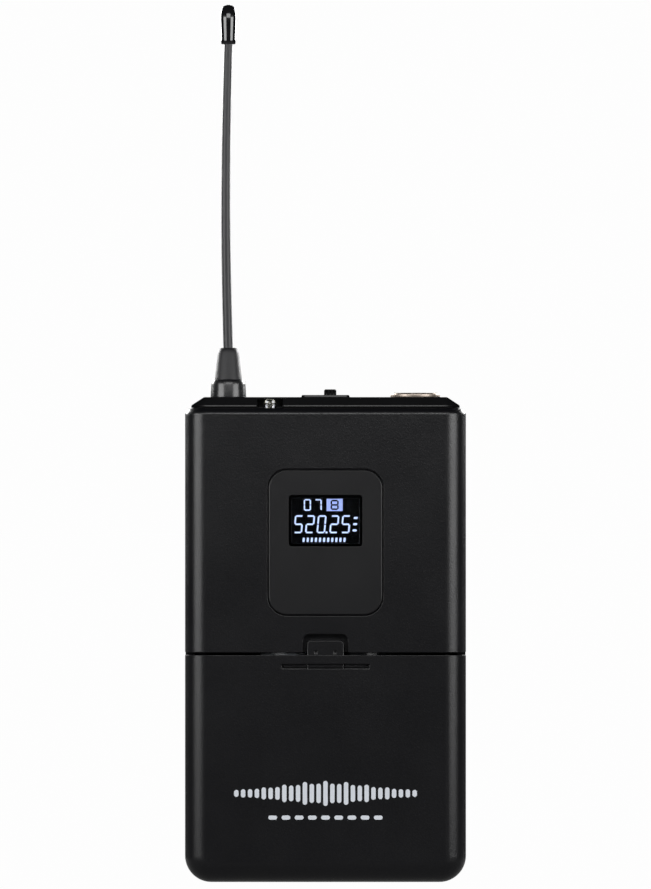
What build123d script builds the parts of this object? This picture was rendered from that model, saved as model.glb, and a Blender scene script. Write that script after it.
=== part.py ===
from build123d import *
import os
from math import cos, radians, sin

# Wireless bodypack transmitter: a two-shell case with a drop-down battery door,
# a top plate with antenna, power switch, status light and microphone jack,
# and a sprung belt clip on the back. Millimetres. +Z up, the front faces -Y.
# The origin is the middle of the case's underside.

# case
case_width = 64.0
case_depth = 24.0
case_height = 108.0
wall = 2.0
standoff_radius = 3.0
corner_radius = 6.0  # lower corners, seen from the front
edge_radius = 5.0  # long edges all round
top_edge_radius = 1.5
front_y = -case_depth / 2
rear_y = case_depth / 2

# joint between door and upper shell
door_top = 51.75
shell_bottom = 52.4
parting_gap = 0.4

# door hinge, along X at the lower rear edge
hinge_y = 8.6
hinge_z = 2.15
barrel_radius = 1.7
barrel_half = 18.05
notch_half = 18.4
notch_top = 4.1
ear_width = 2.6
ear_front_y = 5.5
ear_top = 5.0
sole_front_y = -1.0
sole_rear_y = 5.0
tongue_front_y = 4.0
tongue_thickness = 1.7
tongue_z = 1.3
pin_radius = 0.75
pin_half = 20.9
door_bore_radius = 0.80
ear_bore_radius = 0.77

# door latch
latch_half = 4.25
latch_foot_half = 5.45
latch_front_y = -11.2
latch_rear_y = -9.6
latch_top = 55.2
latch_shoulder = 47.55
latch_bottom = 44.6
latch_clearance = 0.07
spring_floor = 40.0
latch_recess_half = 5.15
latch_recess_top = 56.6
latch_recess_y = -9.3
latch_housing_y = -8.2  # back of the walls that the latch and its spring lie in
latch_housing_half = 6.9
latch_backing_half = 6.6
latch_backing_top = 58.2

# grip slot across the door
grip_z = 49.2
grip_width = 20.1
grip_height = 1.16
grip_depth = 1.1
grip_rib = 0.22
grip_rib_drop = 0.3

# display
bezel_width = 25.9
bezel_height = 33.0
bezel_radius = 4.2
bezel_z = 77.45
bezel_gap = 0.25
bezel_depth = 0.9
window_width = 16.8
window_height = 11.7
window_radius = 0.8
window_z = 82.35
window_seat = 0.75
lcd_width = 21.0
lcd_height = 15.0
backlight_width = 22.4
backlight_height = 16.6
lcd_frame_wall = 1.3

# circuit board
board_half = 24.0
board_front_y = -3.0
board_rear_y = -1.4
board_bottom = 62.5
board_top = 91.0
board_screw_x = 21.0
board_screw_rows = (65.5, 88.0)
board_post_radius = 2.0
board_screw_head = 1.2
lead_landing_y = -2.2  # where leads reach the board's upper edge

# two AA cells, side by side and head to tail
cell_radius = 7.25
cell_length = 49.2
nub_radius = 2.75
nub_length = 1.3
cell_x = 7.6
cell_y = -0.5
tray_half = 16.2
tray_bottom = 4.6
tray_floor = 5.8
tray_ceiling = 59.0
tray_top = 60.6
tray_front_y = -7.9
tray_rear_y = 8.8
contact_thickness = 0.3
contact_tab_y = 4.15
contact_tab_top = 63.0
battery_lead_bend = 67.0

# screws that hold the case together: (x, z)
upper_screws = ((27.7, 89.4), (-26.9, 101.5))
lower_screws = ((26.1, 4.7), (-25.5, 4.6))
screw_head_radius = 1.9
screw_shank_radius = 1.0
screw_hole_radius = 1.05
screw_clearance_radius = 1.25
screw_seat_y = 9.6
counterbore_radius = 2.15
pillar_radius = 2.2
upper_pillar_end = 7.0
lower_pillar_end = 8.0
cross_length = 2.2  # cross recess in a screw head
cross_width = 0.5

# top plate
plate_width = 61.2
plate_depth = 21.2
plate_radius = 3.6
plate_top = 110.5
plate_rim = 0.6
plate_slope = 2.9
plate_underside = 109.0
opening_half_x = 28.0
opening_half_y = 8.5
opening_radius = 2.0
lip_bottom = 104.6

# power switch
switch_rest_x = 1.07
knob_half = 1.4
knob_half_y = 1.9
knob_top = 112.3
switch_plate_width = 10.9
switch_plate_depth = 8.4
switch_plate_top = 111.0
switch_body_top = 106.4
switch_body_bottom = 100.6
terminal_bottom = 97.6
shutter_bottom = 107.9
shutter_top = 108.9
lever_bottom = 105.0
lever_well = 104.4

# microphone jack, a small four-pin locking socket
jack_x = 20.5
jack_ring_radius = 5.65
jack_ring_top = 111.5
jack_bore_radius = 4.5
jack_bore_length = 4.0
jack_thread_radius = 5.15
jack_bottom = 96.0
jack_floor = 97.0
jack_cavity_radius = 4.2
jack_nut_bottom = 107.2
jack_pin_radius = 0.5
jack_pin_bottom = 95.2
jack_pin_top = 106.4
pin_circle_radius = 2.2
pin_angles = (20, 110, 200, 290)

# status light
led_x = -12.65
led_y = -6.6
led_radius = 1.4
led_top = 110.1
led_bottom = 105.0
led_lead_spread = 0.64
led_notch_width = 5.9
led_notch_top = 110.2
led_notch_rear_y = -4.9
led_boss_wall = 0.8

# antenna
antenna_x = -22.2
collar_radius = 4.05
collar_top = 114.6
boot_radius = 3.1
boot_tip_radius = 2.25
boot_top = 121.8
whip_radius = 1.05
whip_bottom = 119.6
whip_top = 191.2
whip_bow = 0.6
stud_radius = 3.0
tip_top = 200.2
tip_radius = 1.95

# belt clip, bent from one strip of spring steel
clip_width = 25.8
clip_foot_width = 25.4
clip_steel = 0.8
clip_bend_y = 15.4
clip_bend_z = 85.8
clip_bend_radius = 3.4
clip_plate_bottom = 66.0
clip_knee_z = 54.2
clip_pinch_z = 34.5
clip_pinch_y = 12.48
clip_foot_z = 25.7
clip_foot_y = 15.5
clip_joint_gap = 0.1
rivet_x = 6.0
rivet_z = 75.0
rivet_radius = 1.5

# label on the back
label_recess_width = 42.3
label_recess_low = 12.5
label_recess_high = 28.0
label_recess_depth = 0.3
label_width = 15.5
label_height = 5.2
label_tilt = 2.7

os.makedirs("parts", exist_ok=True)


def front_view(y):
    """Sketch plane at depth y with X to the right and Z up; extrusions run to the front."""
    return Plane.XZ.offset(-y)


def side_view(x):
    """Sketch plane at x with Y to the right and Z up; extrusions run to +X."""
    return Plane.YZ.offset(x)


def upright_axis(x, y=0.0):
    return Axis((x, y, 0), (0, 0, 1))


def casing(inset, top_radius):
    """Closed outer form of the case, set in all round by inset."""
    with BuildPart() as body:
        with BuildSketch(front_view(rear_y - inset)):
            with Locations((0, case_height / 2)):
                Rectangle(case_width - 2 * inset, case_height - 2 * inset)
            fillet(vertices().group_by(Axis.Y)[0], corner_radius - inset)
        extrude(amount=case_depth - 2 * inset)
        rims = edges().group_by(Axis.Y)[0] + edges().group_by(Axis.Y)[-1]
        long_edges = rims.filter_by(lambda edge: edge.center().Z < case_height - inset - 1)
        fillet(long_edges, edge_radius - inset)
        if top_radius > 0:
            fillet(faces().sort_by(Axis.Z)[-1].edges(), top_radius)
    return body.part


def posts(places, radius, y_low, y_high, within):
    """Round posts along Y at (x, z) places, trimmed to the form they stand in."""
    with BuildPart() as group:
        with BuildSketch(front_view(y_high)):
            with Locations(*places):
                Circle(radius)
        extrude(amount=y_high - y_low)
        add(within, mode=Mode.INTERSECT)
    return group.part


def block(x_low, x_high, y_low, y_high, z_low, z_high, within):
    """Straight block between limits, trimmed to the form it stands in."""
    with BuildPart() as piece:
        with Locations(((x_low + x_high) / 2, (y_low + y_high) / 2, (z_low + z_high) / 2)):
            Box(x_high - x_low, y_high - y_low, z_high - z_low)
        add(within, mode=Mode.INTERSECT)
    return piece.part


def lead(points, radius, bend):
    """One insulated lead: straight runs joined by tangent arcs."""
    with BuildPart() as strand:
        with BuildLine():
            route = FilletPolyline(*points, radius=bend)
        with BuildSketch(Plane(origin=route @ 0, z_dir=route % 0)):
            Circle(radius)
        sweep(path=route)
    return strand.part


def spring(x, y, z_low, z_high, radius, wire_radius, turns):
    """Open coil spring standing between two levels."""
    rise = z_high - z_low - 2.2 * wire_radius
    with BuildPart() as coil:
        with BuildLine():
            turn = Helix(rise / turns, rise, radius, center=(x, y, z_low + 1.1 * wire_radius))
        with BuildSketch(Plane(origin=turn @ 0, z_dir=turn % 0)):
            Circle(wire_radius)
        sweep(path=turn, is_frenet=True)
    return coil.part


case_form = casing(0, top_edge_radius)
case_space = casing(wall, 0)
upper_standoffs = posts(upper_screws, standoff_radius, upper_pillar_end, rear_y, case_form)
lower_standoffs = posts(lower_screws, standoff_radius, lower_pillar_end, rear_y, case_form)
ears = [
    block(side * notch_half - (side < 0) * ear_width, side * notch_half + (side > 0) * ear_width,
          ear_front_y, rear_y, 0, ear_top, case_form)
    for side in (-1, 1)
]

with BuildPart() as rear_shell:
    add(case_form)
    add(case_space, mode=Mode.SUBTRACT)
    with BuildSketch(front_view(0)):  # everything in front of the parting plane goes
        with Locations((0, case_height / 2)):
            Rectangle(case_width + 2, case_height + 2)
    extrude(amount=case_depth, mode=Mode.SUBTRACT)
    add(upper_standoffs)
    add(lower_standoffs)
    add(ears)
    with BuildSketch(front_view(rear_y)):  # hinge cut-out
        with Locations((0, notch_top / 2)):
            Rectangle(2 * notch_half, notch_top)
    extrude(amount=rear_y, mode=Mode.SUBTRACT)
    with BuildSketch(side_view(-notch_half - ear_width)):
        with Locations((hinge_y, hinge_z)):
            Circle(ear_bore_radius)
    extrude(amount=2 * (notch_half + ear_width), mode=Mode.SUBTRACT)
    with BuildSketch(front_view(rear_y)):  # screw heads sink in the back
        with Locations(*upper_screws, *lower_screws):
            Circle(counterbore_radius)
    extrude(amount=rear_y - screw_seat_y, mode=Mode.SUBTRACT)
    with BuildSketch(front_view(rear_y)):
        with Locations(*upper_screws, *lower_screws):
            Circle(screw_clearance_radius)
        with Locations((-rivet_x, rivet_z), (rivet_x, rivet_z)):
            Circle(rivet_radius)
    extrude(amount=rear_y - upper_pillar_end, mode=Mode.SUBTRACT)
    with BuildSketch(front_view(rear_y)):
        with Locations((0, (label_recess_low + label_recess_high) / 2)):
            RectangleRounded(label_recess_width, label_recess_high - label_recess_low, 2.5)
    extrude(amount=label_recess_depth, mode=Mode.SUBTRACT)
    with BuildSketch(Plane.XY.offset(case_height - wall)):  # opening for the top plate
        RectangleRounded(2 * opening_half_x, 2 * opening_half_y, opening_radius)
    extrude(amount=wall, mode=Mode.SUBTRACT)
rear_shell.part.label = "rear_shell"
export_step(rear_shell.part, "parts/rear_shell.step")

latch_backing = block(-latch_backing_half, latch_backing_half, front_y + wall, latch_housing_y,
                      shell_bottom, latch_backing_top, case_form)
board_posts = [(x, z) for x in (-board_screw_x, board_screw_x) for z in board_screw_rows]
upper_pillars = posts(upper_screws, pillar_radius, front_y + wall, upper_pillar_end, case_space)
board_pillars = posts(board_posts, board_post_radius, front_y + wall, board_front_y, case_space)

with BuildPart() as front_shell:
    add(case_form)
    add(case_space, mode=Mode.SUBTRACT)
    with BuildSketch(front_view(rear_y)):
        with Locations((0, case_height / 2)):
            Rectangle(case_width + 2, case_height + 2)
    extrude(amount=rear_y, mode=Mode.SUBTRACT)
    with BuildSketch(Plane.XY):  # the door covers the lower half
        Rectangle(case_width + 2, case_depth + 2)
    extrude(amount=shell_bottom, mode=Mode.SUBTRACT)
    add(latch_backing)
    with BuildSketch(front_view(latch_recess_y)):  # recess for the latch tab
        with Locations((0, (shell_bottom + latch_recess_top) / 2)):
            Rectangle(2 * latch_recess_half, latch_recess_top - shell_bottom)
        fillet(vertices().group_by(Axis.Y)[-1], 1.5)
    extrude(amount=3.0, mode=Mode.SUBTRACT)
    add(upper_pillars)
    add(board_pillars)
    with BuildSketch(front_view(upper_pillar_end)):
        with Locations(*upper_screws):
            Circle(screw_hole_radius)
    extrude(amount=6.0, mode=Mode.SUBTRACT)
    with BuildSketch(front_view(board_front_y)):
        with Locations(*board_posts):
            Circle(1.0)
    extrude(amount=5.0, mode=Mode.SUBTRACT)
    with BuildSketch(front_view(front_y + bezel_depth)):  # seat for the display bezel
        with Locations((0, bezel_z)):
            RectangleRounded(bezel_width + 2 * bezel_gap, bezel_height + 2 * bezel_gap,
                             bezel_radius + bezel_gap)
    extrude(amount=bezel_depth, mode=Mode.SUBTRACT)
    with BuildSketch(front_view(front_y + wall)):  # sight opening, smaller than the window
        with Locations((0, window_z)):
            Rectangle(window_width - 2 * window_seat, window_height - 2 * window_seat)
    extrude(amount=wall, mode=Mode.SUBTRACT)
    with BuildSketch(Plane.XY.offset(case_height - wall)):
        RectangleRounded(2 * opening_half_x, 2 * opening_half_y, opening_radius)
    extrude(amount=wall, mode=Mode.SUBTRACT)
front_shell.part.label = "front_shell"
export_step(front_shell.part, "parts/front_shell.step")

latch_box = block(-latch_housing_half, latch_housing_half, front_y + wall, latch_housing_y,
                  spring_floor - 1.5, door_top, case_form)

with BuildPart() as battery_door:
    add(case_form)
    add(case_space, mode=Mode.SUBTRACT)
    with BuildSketch(front_view(rear_y)):
        with Locations((0, case_height / 2)):
            Rectangle(case_width + 2, case_height + 2)
    extrude(amount=rear_y + parting_gap, mode=Mode.SUBTRACT)
    with BuildSketch(Plane.XY.offset(door_top)):
        Rectangle(case_width + 2, case_depth + 2)
    extrude(amount=case_height, mode=Mode.SUBTRACT)
    add(latch_box)
    with BuildSketch(side_view(-barrel_half)):  # sole, tongue and hinge barrel
        with Locations(((sole_front_y + sole_rear_y) / 2, wall / 2)):
            Rectangle(sole_rear_y - sole_front_y, wall)
        with Locations(((tongue_front_y + hinge_y) / 2, tongue_z)):
            Rectangle(hinge_y - tongue_front_y, tongue_thickness)
        with Locations((hinge_y, hinge_z)):
            Circle(barrel_radius)
            Circle(door_bore_radius, mode=Mode.SUBTRACT)
    extrude(amount=2 * barrel_half)
    with BuildSketch(front_view(latch_rear_y + latch_clearance)):  # guide for the latch
        slot_half = latch_half + latch_clearance
        foot_half = latch_foot_half + latch_clearance
        shoulder = latch_shoulder + 0.05
        with Locations((0, (shoulder + door_top) / 2)):
            Rectangle(2 * slot_half, door_top - shoulder)
        with Locations((0, (shoulder + spring_floor) / 2)):
            Rectangle(2 * foot_half, shoulder - spring_floor)
    extrude(amount=latch_rear_y - latch_front_y + 2 * latch_clearance, mode=Mode.SUBTRACT)
    with BuildSketch(front_view(front_y + grip_depth)):  # grip slot with a low rib along it
        with Locations((0, grip_z)):
            RectangleRounded(grip_width, grip_height, 0.2)
            Rectangle(grip_width - 1.0, grip_rib, mode=Mode.SUBTRACT)
    extrude(amount=grip_depth, mode=Mode.SUBTRACT)
    with BuildSketch(front_view(front_y + grip_rib_drop)):
        with Locations((0, grip_z)):
            RectangleRounded(grip_width, grip_height, 0.2)
    extrude(amount=grip_rib_drop, mode=Mode.SUBTRACT)
battery_door.part.label = "battery_door"
export_step(battery_door.part, "parts/battery_door.step")

with BuildPart() as door_latch:
    with BuildSketch(front_view(latch_rear_y)):
        with Locations((0, (latch_shoulder + latch_top) / 2)):
            Rectangle(2 * latch_half, latch_top - latch_shoulder)
        fillet(vertices().group_by(Axis.Y)[-1], 1.0)
        with Locations((0, (latch_bottom + latch_shoulder) / 2)):
            Rectangle(2 * latch_foot_half, latch_shoulder - latch_bottom)
    extrude(amount=latch_rear_y - latch_front_y)
    tab_rim = faces().sort_by(Axis.Y)[0].edges()
    fillet(tab_rim.filter_by(lambda edge: edge.center().Z > door_top - 2), 0.3)
    with BuildSketch(front_view(latch_front_y + 0.4)):
        with Locations((-2.2, shell_bottom), (2.2, shell_bottom)):
            Rectangle(0.6, 0.8)
    extrude(amount=0.5, mode=Mode.SUBTRACT)
door_latch.part.label = "door_latch"
export_step(door_latch.part, "parts/door_latch.step")

latch_coil = spring(0, (latch_front_y + latch_rear_y) / 2, spring_floor, latch_bottom, 0.6, 0.15, 6)
with BuildPart() as latch_spring:
    add(latch_coil)
latch_spring.part.label = "latch_spring"
export_step(latch_spring.part, "parts/latch_spring.step")

with BuildPart() as hinge_pin:
    with BuildSketch(side_view(-pin_half)):
        with Locations((hinge_y, hinge_z)):
            Circle(pin_radius)
    extrude(amount=2 * pin_half)
    chamfer(edges().filter_by(GeomType.CIRCLE), 0.15)
hinge_pin.part.label = "hinge_pin"
export_step(hinge_pin.part, "parts/hinge_pin.step")

with BuildPart() as case_screws:
    for places, depth in ((upper_screws, 7.4), (lower_screws, 7.0)):
        with BuildSketch(front_view(screw_seat_y)):
            with Locations(*places):
                Circle(screw_shank_radius)
        extrude(amount=depth)
    with BuildSketch(front_view(screw_seat_y + 1.4)):
        with Locations(*upper_screws, *lower_screws):
            Circle(screw_head_radius)
    extrude(amount=1.4)
    fillet(faces().group_by(Axis.Y)[-1].edges(), 0.5)
    with BuildSketch(front_view(screw_seat_y + 1.4)):  # cross recess
        with Locations(*upper_screws, *lower_screws):
            Rectangle(cross_length, cross_width)
            Rectangle(cross_width, cross_length)
    extrude(amount=0.8, mode=Mode.SUBTRACT)
case_screws.part.label = "case_screws"
export_step(case_screws.part, "parts/case_screws.step")

with BuildPart() as frequency_label:
    tilt = radians(label_tilt)
    label_plane = Plane(
        origin=(0.3, rear_y - label_recess_depth + 0.15, 20.0),
        x_dir=(cos(tilt), 0, sin(tilt)),
        z_dir=(0, -1, 0),
    )
    with BuildSketch(label_plane):
        RectangleRounded(label_width, label_height, 0.3)
    extrude(amount=0.15)
frequency_label.part.label = "frequency_label"
export_step(frequency_label.part, "parts/frequency_label.step")

# display

with BuildPart() as display_bezel:
    with BuildSketch(front_view(front_y + bezel_depth)):
        with Locations((0, bezel_z)):
            RectangleRounded(bezel_width, bezel_height, bezel_radius)
    extrude(amount=bezel_depth)
    chamfer(faces().sort_by(Axis.Y)[0].edges(), 0.2)
    with BuildSketch(front_view(front_y + bezel_depth)):
        with Locations((0, window_z)):
            RectangleRounded(window_width, window_height, window_radius)
    extrude(amount=bezel_depth, mode=Mode.SUBTRACT)
display_bezel.part.label = "display_bezel"
export_step(display_bezel.part, "parts/display_bezel.step")

with BuildPart() as display_window:
    with BuildSketch(front_view(front_y + bezel_depth)):
        with Locations((0, window_z)):
            RectangleRounded(window_width - 0.1, window_height - 0.1, window_radius - 0.05)
    extrude(amount=bezel_depth - 0.1)
display_window.part.label = "display_window"
export_step(display_window.part, "parts/display_window.step")

glass_front_y = front_y + wall + 0.05
glass_rear_y = -8.6
backlight_rear_y = -6.6

with BuildPart() as lcd_glass:
    with BuildSketch(front_view(glass_rear_y)):
        with Locations((0, window_z)):
            Rectangle(lcd_width, lcd_height)
    extrude(amount=glass_rear_y - glass_front_y)
lcd_glass.part.label = "lcd_glass"
export_step(lcd_glass.part, "parts/lcd_glass.step")

with BuildPart() as lcd_backlight:
    with BuildSketch(front_view(backlight_rear_y)):
        with Locations((0, window_z)):
            Rectangle(backlight_width, backlight_height)
    extrude(amount=backlight_rear_y - glass_rear_y)
lcd_backlight.part.label = "lcd_backlight"
export_step(lcd_backlight.part, "parts/lcd_backlight.step")

with BuildPart() as lcd_frame:
    with BuildSketch(front_view(board_front_y)):
        with Locations((0, window_z)):
            Rectangle(backlight_width + 2 * lcd_frame_wall + 0.2, backlight_height + 2.0)
            Rectangle(backlight_width + 0.2, backlight_height + 0.2, mode=Mode.SUBTRACT)
    extrude(amount=board_front_y - glass_front_y)
lcd_frame.part.label = "lcd_frame"
export_step(lcd_frame.part, "parts/lcd_frame.step")

# electronics

board_height = board_top - board_bottom
board_z = (board_top + board_bottom) / 2

with BuildPart() as main_board:
    with BuildSketch(front_view(board_rear_y)):
        with Locations((0, board_z)):
            RectangleRounded(2 * board_half, board_height, 1.0)
        with Locations(*board_posts):
            Circle(1.2, mode=Mode.SUBTRACT)
    extrude(amount=board_rear_y - board_front_y)
main_board.part.label = "main_board"
export_step(main_board.part, "parts/main_board.step")

with BuildPart() as board_screws:
    with BuildSketch(front_view(board_rear_y)):
        with Locations(*board_posts):
            Circle(0.95)
    extrude(amount=5.6)
    with BuildSketch(front_view(board_rear_y + board_screw_head)):
        with Locations(*board_posts):
            Circle(1.8)
    extrude(amount=board_screw_head)
    with BuildSketch(front_view(board_rear_y + board_screw_head)):
        with Locations(*board_posts):
            Rectangle(cross_length, cross_width)
            Rectangle(cross_width, cross_length)
    extrude(amount=0.6, mode=Mode.SUBTRACT)
board_screws.part.label = "board_screws"
export_step(board_screws.part, "parts/board_screws.step")

with BuildPart() as rf_shield:
    with BuildSketch(front_view(1.4)):
        with Locations((-10.5, 81.5)):
            Rectangle(15.0, 15.0)
    extrude(amount=1.4 - board_rear_y)
    fillet(edges().filter_by(Axis.Y), 0.6)
    with BuildSketch(front_view(1.1)):
        with Locations((-10.5, 81.5)):
            Rectangle(14.4, 14.4)
    extrude(amount=1.1 - board_rear_y, mode=Mode.SUBTRACT)
rf_shield.part.label = "rf_shield"
export_step(rf_shield.part, "parts/rf_shield.step")

chips = (  # x, z, width and height of each
    (6.5, 83.0, 9.0, 9.0),
    (16.0, 75.0, 6.0, 5.0),
    (6.5, 70.5, 7.0, 7.0),
    (-13.0, 68.0, 8.0, 5.0),
)

with BuildPart() as board_chips:
    for chip_x, chip_z, chip_width, chip_height in chips:
        with BuildSketch(front_view(board_rear_y + 1.3)):
            with Locations((chip_x, chip_z)):
                Rectangle(chip_width, chip_height)
        extrude(amount=1.3)
board_chips.part.label = "board_chips"
export_step(board_chips.part, "parts/board_chips.step")

with BuildPart() as board_capacitors:
    with BuildSketch(front_view(board_rear_y + 4.5)):
        with Locations((15.5, 67.0), (15.5, 82.0), (15.5, 87.0)):
            Circle(2.0)
    extrude(amount=4.5)
    fillet(faces().group_by(Axis.Y)[-1].edges(), 0.4)
board_capacitors.part.label = "board_capacitors"
export_step(board_capacitors.part, "parts/board_capacitors.step")

with BuildPart() as crystal:
    with BuildSketch(front_view(board_rear_y + 2.6)):
        with Locations((-2.5, 69.0)):
            SlotOverall(8.0, 3.4, rotation=90)
    extrude(amount=2.6)
crystal.part.label = "crystal"
export_step(crystal.part, "parts/crystal.step")

# batteries

lower_pillars = posts(lower_screws, pillar_radius, 0.6, lower_pillar_end, case_space)

with BuildPart() as battery_tray:
    with BuildSketch(Plane.XY.offset(tray_bottom)):
        with Locations((0, (1.5 + tray_rear_y) / 2)):
            Rectangle(2 * tray_half, tray_rear_y - 1.5)
    extrude(amount=tray_top - tray_bottom)
    for shelf_z, shelf_top in ((tray_bottom, tray_floor), (tray_ceiling, tray_top)):
        with BuildSketch(Plane.XY.offset(shelf_z)):
            with Locations((0, (tray_front_y + tray_rear_y) / 2)):
                Rectangle(2 * tray_half, tray_rear_y - tray_front_y)
        extrude(amount=shelf_top - shelf_z)
    with BuildSketch(Plane.XY.offset(tray_floor)):
        with Locations((-cell_x, cell_y), (cell_x, cell_y)):
            Circle(cell_radius + 0.25)
    extrude(amount=tray_ceiling - tray_floor, mode=Mode.SUBTRACT)
    with BuildSketch(Plane.XY.offset(tray_ceiling)):  # slots for the contact tabs
        with Locations((-cell_x, contact_tab_y), (cell_x, contact_tab_y)):
            Rectangle(3.4, 0.5)
    extrude(amount=tray_top - tray_ceiling, mode=Mode.SUBTRACT)
    with BuildSketch(front_view(3.0)):  # arms out to the two lower case screws
        for side in (-1, 1):
            with Locations((side * (tray_half + 24.5) / 2, 6.2)):
                Rectangle(24.5 - tray_half + 0.4, 3.2)
    extrude(amount=3.0 - 1.5)
    add(lower_pillars)
    with BuildSketch(front_view(lower_pillar_end)):
        with Locations(*lower_screws):
            Circle(screw_hole_radius)
    extrude(amount=6.0, mode=Mode.SUBTRACT)
battery_tray.part.label = "battery_tray"
export_step(battery_tray.part, "parts/battery_tray.step")

spring_height = 2.1
contact_low = tray_floor + contact_thickness
contact_high = tray_ceiling - contact_thickness


def cell(x, base_z, direction):
    """One AA cell standing on its negative end at base_z, or hanging from it."""
    with BuildPart() as battery:
        with BuildSketch(Plane((x, cell_y, base_z), z_dir=(0, 0, direction))):
            Circle(cell_radius)
        extrude(amount=cell_length)
        fillet(edges().filter_by(GeomType.CIRCLE), 0.5)
        end_z = base_z + direction * cell_length
        with BuildSketch(Plane((x, cell_y, end_z), z_dir=(0, 0, direction))):
            Circle(nub_radius)
        extrude(amount=nub_length)
    return battery.part


left_cell = cell(-cell_x, contact_low + spring_height, 1)
right_cell = cell(cell_x, contact_high - spring_height, -1)

with BuildPart() as battery_left:
    add(left_cell)
battery_left.part.label = "battery_left"
export_step(battery_left.part, "parts/battery_left.step")

with BuildPart() as battery_right:
    add(right_cell)
battery_right.part.label = "battery_right"
export_step(battery_right.part, "parts/battery_right.step")

cell_springs = [
    spring(-cell_x, cell_y, contact_low, contact_low + spring_height, 3.0, 0.25, 2.25),
    spring(cell_x, cell_y, contact_high - spring_height, contact_high, 3.0, 0.25, 2.25),
]
with BuildPart() as battery_springs:
    add(cell_springs)
battery_springs.part.label = "battery_springs"
export_step(battery_springs.part, "parts/battery_springs.step")

with BuildPart() as battery_contacts:
    with BuildSketch(Plane.XY.offset(tray_floor)):  # links the two cells in series
        with Locations((0, -1.3)):
            Rectangle(22.0, 5.4)
    extrude(amount=contact_thickness)
    with BuildSketch(Plane.XY.offset(contact_high)):
        with Locations((-cell_x, 0.15), (cell_x, 0.15)):
            Rectangle(7.0, 8.3)
    extrude(amount=contact_thickness)
    with BuildSketch(Plane.XY.offset(contact_high)):  # tabs up through the tray
        with Locations((-cell_x, contact_tab_y), (cell_x, contact_tab_y)):
            Rectangle(3.0, contact_thickness)
    extrude(amount=contact_tab_top - contact_high)
battery_contacts.part.label = "battery_contacts"
export_step(battery_contacts.part, "parts/battery_contacts.step")

red_strand = lead(
    ((-cell_x, contact_tab_y, contact_tab_top), (-cell_x, contact_tab_y, battery_lead_bend),
     (-5.6, 1.8, 71.6), (-5.6, board_rear_y, 71.6)),
    0.5, 1.2,
)
black_strand = lead(
    ((cell_x, contact_tab_y, contact_tab_top), (cell_x, contact_tab_y, battery_lead_bend),
     (12.0, 2.6, 70.8), (12.0, board_rear_y, 70.8)),
    0.5, 1.2,
)

with BuildPart() as battery_lead_red:
    add(red_strand)
battery_lead_red.part.label = "battery_lead_red"
export_step(battery_lead_red.part, "parts/battery_lead_red.step")

with BuildPart() as battery_lead_black:
    add(black_strand)
battery_lead_black.part.label = "battery_lead_black"
export_step(battery_lead_black.part, "parts/battery_lead_black.step")

# top plate and what it carries

led_boss_front_y = -opening_half_y + 0.1
led_boss_rear_y = led_notch_rear_y + led_boss_wall
led_boss_y = (led_boss_front_y + led_boss_rear_y) / 2
led_boss_depth = led_boss_rear_y - led_boss_front_y

with BuildPart() as top_plate:
    with BuildSketch(Plane.XY.offset(case_height)):
        RectangleRounded(plate_width, plate_depth, plate_radius)
    extrude(amount=plate_top - case_height)
    slope_edges = faces().sort_by(Axis.Z)[-1].edges()
    chamfer(slope_edges, plate_top - case_height - plate_rim, plate_slope)
    with BuildSketch(Plane.XY.offset(plate_top)):
        RectangleRounded(switch_plate_width, switch_plate_depth, 0.8)
    extrude(amount=switch_plate_top - plate_top)
    with BuildSketch(Plane.XY.offset(case_height - wall)):  # spigot in the case's opening
        RectangleRounded(2 * opening_half_x - 0.2, 2 * opening_half_y - 0.2, 1.9)
    extrude(amount=wall)
    with BuildSketch(Plane.XY.offset(lip_bottom)):  # lip under the case's top wall
        RectangleRounded(2 * opening_half_x + 1.8, 2 * opening_half_y + 1.6, 2.6)
    extrude(amount=case_height - wall - lip_bottom)
    with BuildSketch(Plane.XY.offset(lip_bottom)):
        RectangleRounded(2 * opening_half_x - 3.2, 2 * opening_half_y - 2.6, 1.0)
    extrude(amount=plate_underside - lip_bottom, mode=Mode.SUBTRACT)
    with BuildSketch(Plane.XY.offset(switch_body_top)):
        with Locations((-6.3, 0), (6.3, 0)):
            Circle(0.9)
    extrude(amount=plate_underside - switch_body_top)
    with BuildSketch(Plane.XY.offset(lip_bottom)):
        Rectangle(2 * (switch_rest_x + knob_half + 0.1), 2 * (knob_half_y + 0.1))
        with Locations((jack_x, 0)):
            Circle(jack_thread_radius + 0.05)
        with Locations((antenna_x, 0)):
            Circle(stud_radius + 0.05)
    extrude(amount=switch_plate_top - lip_bottom, mode=Mode.SUBTRACT)
    with BuildSketch(Plane.XY.offset(case_height - wall)):  # boss round the light
        with Locations((led_x, led_boss_y)):
            Rectangle(led_notch_width + 2 * led_boss_wall, led_boss_depth)
    extrude(amount=plate_underside - case_height + wall)
    with BuildSketch(Plane.XY.offset(case_height)):  # notch in the slope that shows the light
        with Locations((led_x, led_notch_rear_y - case_depth / 2)):
            Rectangle(led_notch_width, case_depth)
    extrude(amount=led_notch_top - case_height, mode=Mode.SUBTRACT)
    with BuildSketch(Plane.XY.offset(lip_bottom)):
        with Locations((led_x, led_y)):
            Circle(led_radius + 0.05)
    extrude(amount=case_height - lip_bottom, mode=Mode.SUBTRACT)
top_plate.part.label = "top_plate"
export_step(top_plate.part, "parts/top_plate.step")

with BuildPart() as switch_body:
    with BuildSketch(Plane.XY.offset(switch_body_bottom)):
        Rectangle(10.0, 5.4)
    extrude(amount=switch_body_top - switch_body_bottom)
    with BuildSketch(Plane.XY.offset(switch_body_top - 0.8)):
        Rectangle(14.6, 4.0)
    extrude(amount=0.8)
    with BuildSketch(Plane.XY.offset(lever_well)):
        Rectangle(4.2, 1.4)
    extrude(amount=switch_body_top - lever_well, mode=Mode.SUBTRACT)
switch_body.part.label = "switch_body"
export_step(switch_body.part, "parts/switch_body.step")

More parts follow.
